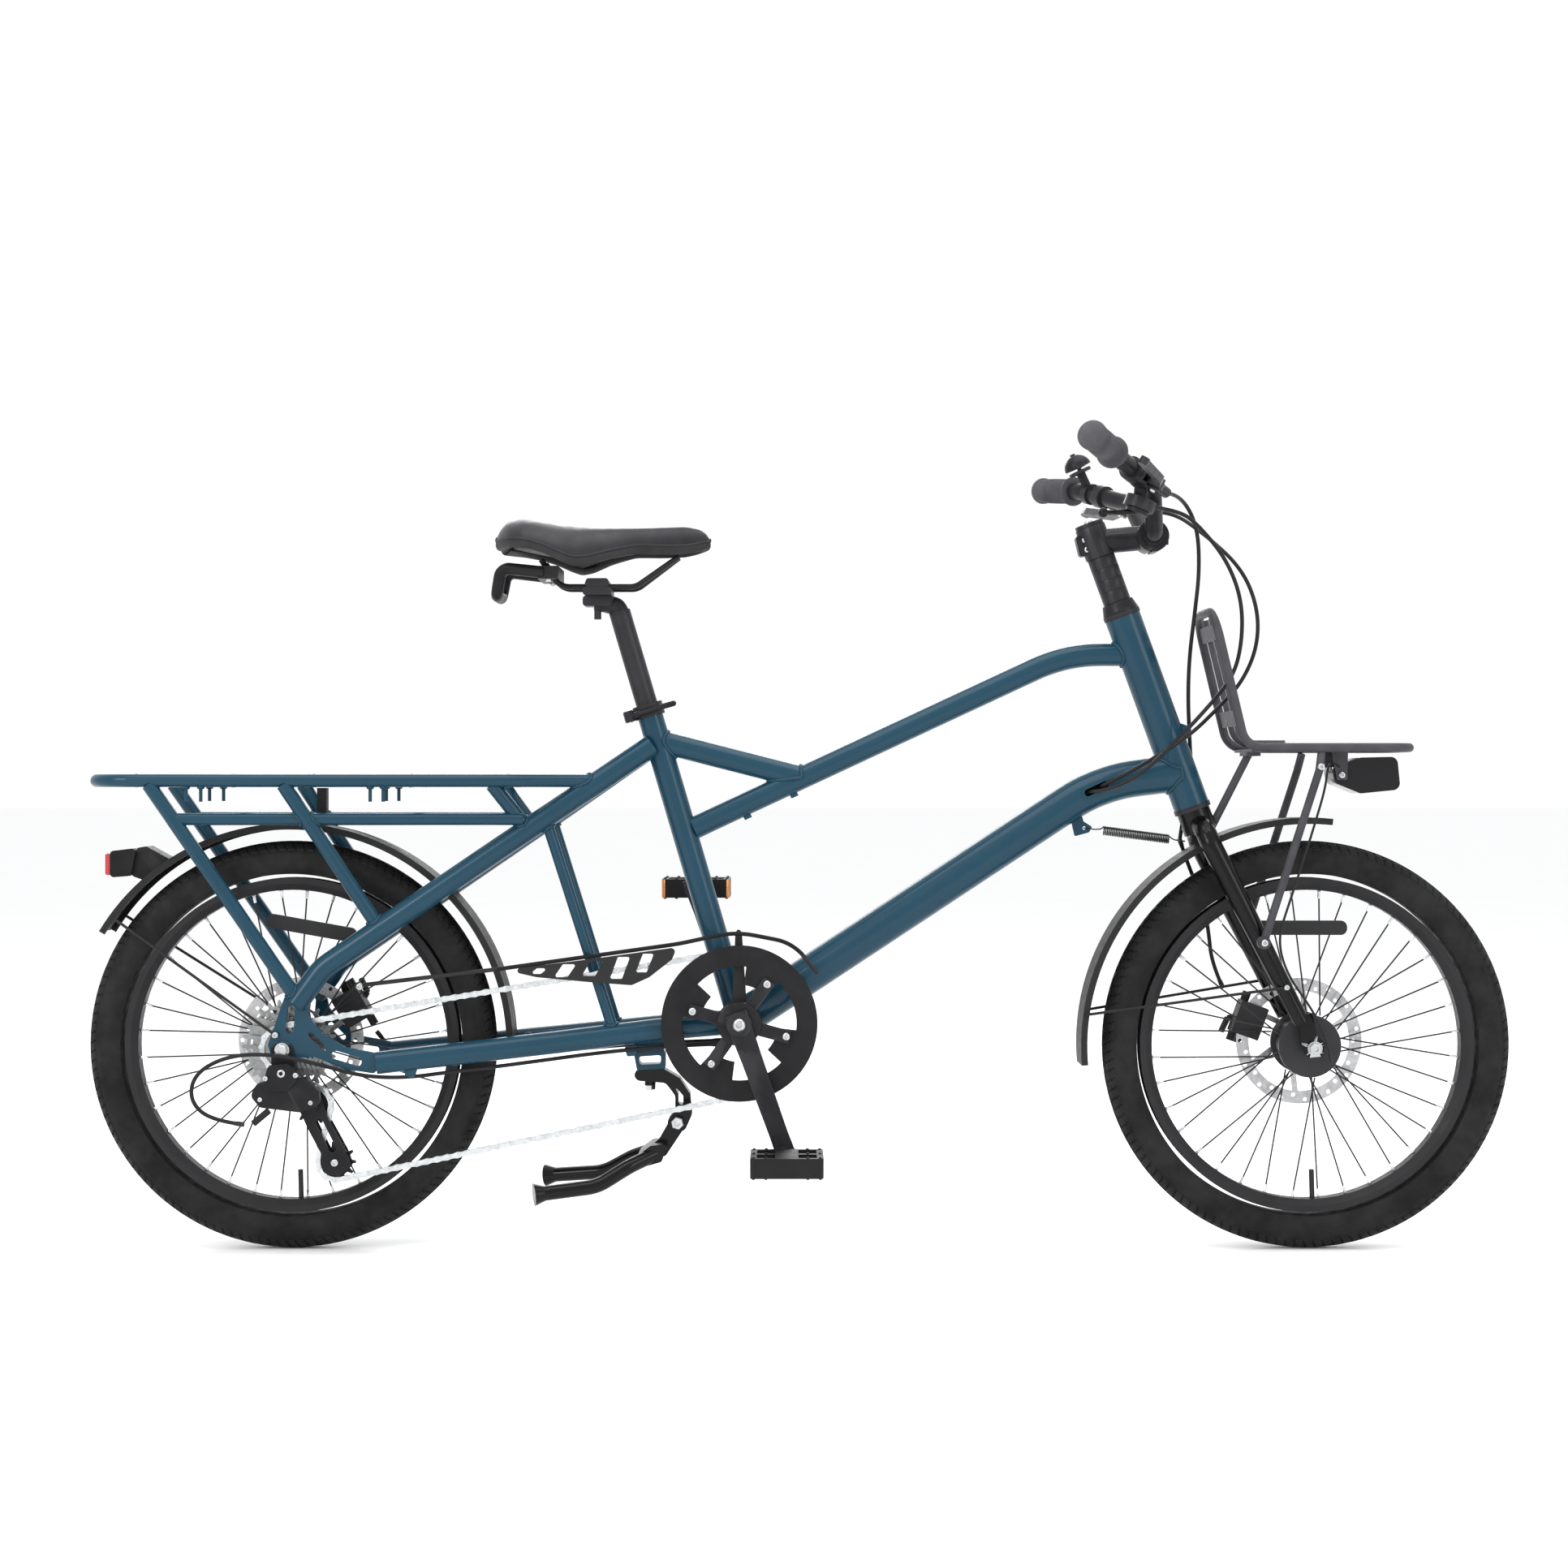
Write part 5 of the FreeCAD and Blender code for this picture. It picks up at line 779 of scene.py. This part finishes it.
# ---- cables ---------------------------------------------------------------------------------------
CABLE_ROUTES = {
    "front_brake_cable": ((0.44499, -0.11769, 0.93581), (0.46699, -0.07769, 0.93881), (0.494, -0.042, 0.905),
                          (0.5, -0.022, 0.85), (0.496, -0.008, 0.797), (0.491, 0.002, 0.745), (0.4895, 0.005, 0.694),
                          (0.4915, 0.0055, 0.643), (0.497, 0.022, 0.592), (0.489, 0.034, 0.55),
                          (0.4843, 0.0368, 0.514)),
    "rear_brake_cable": ((0.44499, 0.11769, 0.93581), (0.47499, 0.07969, 0.93781), (0.52, 0.048, 0.9),
                         (0.561, 0.024, 0.856), (0.578, 0.006, 0.805), (0.575, -0.008, 0.755), (0.554, -0.013, 0.709),
                         (0.52, -0.016, 0.674), (0.486, -0.029, 0.643), (0.44, -0.043, 0.615), (0.4, -0.035, 0.592),
                         (0.377, -0.0205, 0.58)),
    "gear_cable": ((0.43478, -0.095, 0.92078), (0.46878, -0.073, 0.91878), (0.493, -0.068, 0.9),
                   (0.528, -0.052, 0.862), (0.549, -0.04, 0.815), (0.551, -0.038, 0.765), (0.54, -0.042, 0.718),
                   (0.508, -0.047, 0.68), (0.47, -0.054, 0.64), (0.428, -0.051, 0.599), (0.389, -0.036, 0.5755),
                   (0.363, -0.02, 0.573)),
    "gear_cable_rear": ((-0.1, -0.024, 0.258), (-0.148, -0.024, 0.2564), (-0.205, -0.031, 0.2524),
                        (-0.262, -0.038, 0.247), (-0.319, -0.047, 0.24), (-0.376, -0.054, 0.233),
                        (-0.433, -0.061, 0.227), (-0.488, -0.068, 0.2204), (-0.54, -0.08, 0.224),
                        (-0.594, -0.0885, 0.241), (-0.65, -0.092, 0.253), (-0.702, -0.092, 0.25),
                        (-0.742, -0.09, 0.228), (-0.748, -0.087, 0.194), (-0.722, -0.084, 0.17),
                        (-0.684, -0.081, 0.165)),
    "brake_cable_rear": ((-0.1, 0.024, 0.258), (-0.148, 0.024, 0.2564), (-0.205, 0.031, 0.2524),
                         (-0.262, 0.038, 0.2476), (-0.319, 0.047, 0.2406), (-0.376, 0.054, 0.2336),
                         (-0.433, 0.061, 0.227), (-0.484, 0.072, 0.22), (-0.524, 0.089, 0.236),
                         (-0.545, 0.089, 0.262)),
    "fork_brake_cable": ((0.484, 0.037, 0.512), (0.498, 0.048, 0.474), (0.516, 0.062, 0.44), (0.526, 0.071, 0.396),
                         (0.531, 0.076, 0.352), (0.545, 0.077, 0.322)),
    "lamp_wire": ((0.657, -0.057, 0.238), (0.651, -0.068, 0.264), (0.632, -0.0715, 0.304), (0.6, -0.0695, 0.348),
                  (0.587, -0.0765, 0.392), (0.601, -0.0785, 0.436), (0.617, -0.0785, 0.484), (0.632, -0.0788, 0.532),
                  (0.646, -0.077, 0.578), (0.652, -0.062, 0.606), (0.664, -0.04, 0.61), (0.672, -0.036, 0.604)),
}


def cable(name, radius, body, node):
    """Sheathed cable on a smooth spline, with a ferrule at each end that rides on a body, where the radius is over 2
    mm. With no body the cable is baked in place unattached, and only its start ferrule rides on the steering.
    """
    points = CABLE_ROUTES[name]
    data = bpy.data.curves.new(f"{name}_line", "CURVE")
    data.dimensions = "3D"
    data.resolution_u = 10
    spline = data.splines.new("NURBS")
    spline.points.add(len(points) - 1)
    for point, co in zip(spline.points, points):
        point.co = (*co, 1)
    spline.order_u = 3
    spline.use_endpoint_u = True
    guide = bpy.data.objects.new(f"{name}_line", data)
    mesh = bpy.data.meshes.new_from_object(guide)
    line = [v.co.copy() for v in mesh.vertices]
    bpy.data.objects.remove(guide)
    bpy.data.curves.remove(data)
    bpy.data.meshes.remove(mesh)
    length = sum((b - a).length for a, b in zip(line, line[1:]))
    obj = piece(name, *sweep(line, radius, 14), "cable", body)
    tuple(line[0])
    [tuple(p) for p in line]
    if not body:
        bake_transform(obj)
    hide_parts(node)
    for end, other, rides in ((line[0], line[1], "steering" if not body else body), (line[-1], line[-2], body)):
        if rides and radius > 2 * MM:
            axis = (other - end).normalized()
            ferrule = Build()
            shape = [(-2 * MM, 3.1 * MM), (7 * MM, 3.1 * MM), (8 * MM, 2.8 * MM), (11 * MM, 2.7 * MM)]
            ferrule.add(*lathe(shape, end, axis, 18))
            ferrule.piece(f"{name}_ferrule_{'start' if end is line[0] else 'end'}", "black_anodised", rides, auto=40)


for cable_name in ("front_brake_cable", "rear_brake_cable", "gear_cable"):
    cable(cable_name, CABLE_R, None, "control_cables")
cable("gear_cable_rear", CABLE_R, "frame", "stay_cables")
cable("brake_cable_rear", CABLE_R, "frame", "stay_cables")
cable("fork_brake_cable", CABLE_R, "steering", "fork_cables")
cable("lamp_wire", WIRE_R, "steering", "fork_cables")


# ---- centring spring ------------------------------------------------------------------------------
def centring_spring():
    """Close-wound coil with a hooked end at the frame's tab and one at the fork crown."""
    a, b = Vector((0.358, 0, 0.5275)), Vector((0.484, 0, 0.511))
    run = (b - a).normalized()
    u, w = frame_of(run)
    start, end = a + run * 24 * MM, b - run * 19 * MM
    turns, steps = 38, 38 * 14
    line = [a + run * 7 * MM, a + run * 14 * MM, a + run * 21 * MM + u * 2 * MM]
    for k in range(steps + 1):
        q = 2 * math.pi * turns * k / steps
        line.append(start.lerp(end, k / steps) + (u * math.cos(q) + w * math.sin(q)) * 5.2 * MM)
    line += [b - run * 16 * MM + u * 2 * MM, b - run * 12 * MM, b - run * 7 * MM]
    body = Build()
    body.add(*sweep(line, 0.85 * MM, 7))
    for eye in (a + run * 3.4 * MM, b - run * 3.4 * MM):
        ring = [eye + (run * math.cos(q) + Vector((0, 1, 0)) * math.sin(q)) * 4 * MM
                for q in np.linspace(0, 2 * math.pi, 20, endpoint=False)]
        body.add(*sweep(ring, 0.85 * MM, 7, closed=True))
    spring = body.piece("centring_coil", "black_satin", None)
    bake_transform(spring)
    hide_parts("steering_spring")


centring_spring()


# ---- grips ----------------------------------------------------------------------------------------
def grips():
    """Moulded grips: ribbed sleeve, flange at the inner end and a thick outer cap."""
    both = []
    for side in (-1, 1):
        a, b = Vector((0.375, 0.190 * side, 0.972)), Vector((0.336, 0.284 * side, 0.9833))
        run = (b - a).normalized()
        length = (0.290 - 0.190) / abs(run.y)
        profile = [(18 * MM, 11.4 * MM), (18 * MM, 18.4 * MM), (19 * MM, 19.3 * MM), (21 * MM, 19.3 * MM),
                   (22 * MM, 18.2 * MM), (23 * MM, 16.4 * MM)]
        d = 25.0
        while d < length / MM - 12:
            swell = 0.5 * math.sin(math.pi * (d - 25) / (length / MM - 37))
            for step, r in ((0.0, 15.5), (0.5, 16.2), (1.5, 16.2), (2.0, 15.5)):
                profile.append(((d + step) * MM, (r + swell) * MM))
            d += 2.9
        profile += [(length - 8 * MM, 16.2 * MM), (length - 7.4 * MM, 17.4 * MM), (length - 2.4 * MM, 17.6 * MM),
                    (length - 0.8 * MM, 16.4 * MM), (length - 0.2 * MM, 13 * MM), (length - 0.5 * MM, 5 * MM)]
        body = Build()
        body.add(*lathe(profile, a, run, 48))
        both.append(body.piece(f"{'left' if side > 0 else 'right'}_grip_sleeve", "grip", "steering", auto=50))
    for sleeve in both:
        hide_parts("grips")


grips()


# ---- spoke nipples, bolts and pedal pins ----------------------------------------------------------
def nipples(name, centre, y_a, y_b, flange, cross, body):
    """Nipple on the rim end of every spoke."""
    shapes = Build()
    for k in range(36):
        side = k % 2
        lean = cross if (k // 2) % 2 else -cross
        y = (y_b if side else y_a) + (0.0 if lean > 0 else 0.8)
        angle, low_angle = math.radians(10 * k + 5), math.radians(10 * k + 5 + lean)
        low = centre + Vector((flange * math.cos(low_angle), y, flange * math.sin(low_angle))) * MM
        high = centre + Vector((193.6 * math.cos(angle), 3.0 if side else -3.0, 193.6 * math.sin(angle))) * MM
        axis = (low - high).normalized()
        shapes.add(*lathe([(0, 2.4 * MM), (1.2 * MM, 2.4 * MM), (1.6 * MM, 1.9 * MM), (9 * MM, 1.8 * MM),
                           (10 * MM, 1.3 * MM)], high, axis, 8))
    shapes.piece(name, "aluminium", body, auto=40)


nipples("rear_nipples", rear, -22, 30, 24.9, 18, "rear_wheel")
nipples("front_nipples", front, -28, 24, 39.9, 14, "front_wheel")


def bolts(name, material, body, places):
    """One piece with many fasteners. Each place is (point in mm, axis, radius in mm, hexagon head or not)."""
    shapes = Build()
    for at, axis, r, hexagon in places:
        shapes.add(*bolt_shape(Vector(at) * MM, axis, r * MM, hexagon=hexagon))
    return shapes.piece(name, material, body, auto=40)


def pair(x, y, z, r, hexagon=False):
    """The same fastener on both sides, facing outwards."""
    return [((x, s * y, z), (0, s, 0), r, hexagon) for s in (-1, 1)]


spider = [((-75 + 60 * math.cos(math.radians(a)), -57, 286 + 60 * math.sin(math.radians(a))), (0, -1, 0), 5.2,
           False)
          for a in (-15, 55, 165, 235)]
bolts("crank_bolts", "steel", "cranks", spider + pair(-75, 69, 286, 8.5))
bolts("frame_bolts", "steel", "frame", pair(-636, 81.7, 256, 7.5, True) + pair(-645, 76.5, 274, 4.2) + [
    ((-543, -67, 333), (0, -1, 0), 4.5, False), ((-636, -84, 228), (0, -1, 0), 6, False),
    ((-655, -88, 222), (0, -1, 0), 3.6, False), ((-618, -88, 226), (0, -1, 0), 3.6, False),
    ((-662, -86, 196), (0, -1, 0), 3.2, False), ((-600, -86, 192), (0, -1, 0), 3.2, False),
    ((-213.4, 15, 667.2), (0, 1, 0), 7, True), ((-188, 0, 204), (0, 0, -1), 7, True)])
bolts("cage_bolts", "steel", "derailleur_cage", [((-601, -70.7, 187), (0, -1, 0), 5, False),
                                                 ((-573, -70.7, 116.5), (0, -1, 0), 5, False)])
bolts("stand_bolts", "steel", "stand", pair(-153, 19, 159, 8, True))
stem_top = Vector((406.47, 0, 793.24)) + Vector((-0.34202, 0, 0.93969)) * 125
bolts("steering_bolts", "steel", "steering", pair(358, 9, 889, 4.2) + pair(361, 9, 877, 4.2)
      + pair(636, 64.2, 256, 7.5, True) + pair(570.8, 79, 387.5, 4.6) + pair(641, 75, 604, 4.4)
      + pair(676, 31, 594, 4.4) + pair(600, 68.8, 332, 3.6) + [(tuple(stem_top), (-0.34202, 0, 0.93969), 5.5, False)])
lever_pins = []
for joint in ("right_brake_squeeze", "left_brake_squeeze"):
    for sign in (-1, 1):
        at = tuple(pivot(joint) / MM + along(joint) * 8.6 * sign)
        lever_pins.append((at, tuple(along(joint) * sign), 3.6, False))
bolts("lever_pins", "steel", "steering", lever_pins)
bolts("saddle_bolts", "steel", "seat", [((-313, 34 * s, 838), (0, 0, -1), 4.2, False) for s in (-1, 1)])


def pedal_pins(node, body):
    """Grip studs along the cage's long edges, on both faces."""
    low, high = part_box(node)
    mid, shapes = (low + high) / 2, Build()
    for face in (-1, 1):
        for x in (-40, -25, 25, 40):
            for y in (4.5, 43, 81.5):
                outer = (high.y - 86 * MM if body == "left_pedal" else low.y) + y * MM
                shapes.add(*lathe([(0, 2.0 * MM), (1.1 * MM, 1.9 * MM), (1.6 * MM, 1.2 * MM)],
                                  (mid.x + x * MM, outer, mid.z + face * 12 * MM), (0, 0, face), 10))
    shapes.piece(f"{node}_pins", "black_plastic", body, auto=40)


pedal_pins("right_pedal", "right_pedal")
pedal_pins("left_pedal", "left_pedal")


# ---- floor, light and camera ----------------------------------------------------------------------
floor = bpy.data.objects.new("floor", bpy.data.meshes.new("floor"))
bpy.context.collection.objects.link(floor)
floor.data.from_pydata([(-30, -20, 0), (30, -20, 0), (30, 60, 0), (-30, 60, 0)], [], [(0, 1, 2, 3)])
paper = Mat("paper_floor", (0.96, 0.96, 0.96), 0.85)
paper.mottle(paper.noise(3, 3), (0.95, 0.95, 0.953))
floor.data.materials.append(paper.mat)

world = bpy.data.worlds.new("studio")
bpy.context.scene.world = world
world.use_nodes = True
world.node_tree.nodes["Background"].inputs["Color"].default_value = (0.99, 0.995, 1.0, 1)
world.node_tree.nodes["Background"].inputs["Strength"].default_value = 1.02
bpy.context.scene.view_settings.view_transform = "Standard"


def area_light(name, at, target, width, height, power, color=(1, 1, 1)):
    """Soft box pointing at a target."""
    data = bpy.data.lights.new(name, "AREA")
    data.shape = "RECTANGLE"
    data.size, data.size_y, data.energy, data.color = width, height, power, color
    lamp = bpy.data.objects.new(name, data)
    lamp.location = at
    lamp.rotation_euler = (Vector(target) - Vector(at)).to_track_quat("-Z", "Y").to_euler()
    bpy.context.collection.objects.link(lamp)


area_light("top_box", (0.2, -0.4, 3.2), (0, 0, 0.4), 3.6, 2.2, 70)
area_light("key_box", (-2.6, -3.0, 2.3), (0, 0, 0.5), 1.6, 1.6, 60, (1.0, 0.985, 0.96))
area_light("fill_box", (2.9, -2.6, 1.6), (0, 0, 0.5), 1.4, 2.0, 30)
area_light("back_box", (0.0, 3.2, 2.2), (0, 0, 0.5), 3.0, 1.2, 50)

camera = bpy.data.objects.new("camera", bpy.data.cameras.new("camera"))
camera.data.sensor_width = 36
camera.data.lens = 60.2
camera.location = (-0.0196, -3.300, 0.5829)
camera.rotation_euler = (math.radians(90), 0, 0)
bpy.context.collection.objects.link(camera)
bpy.context.scene.camera = camera
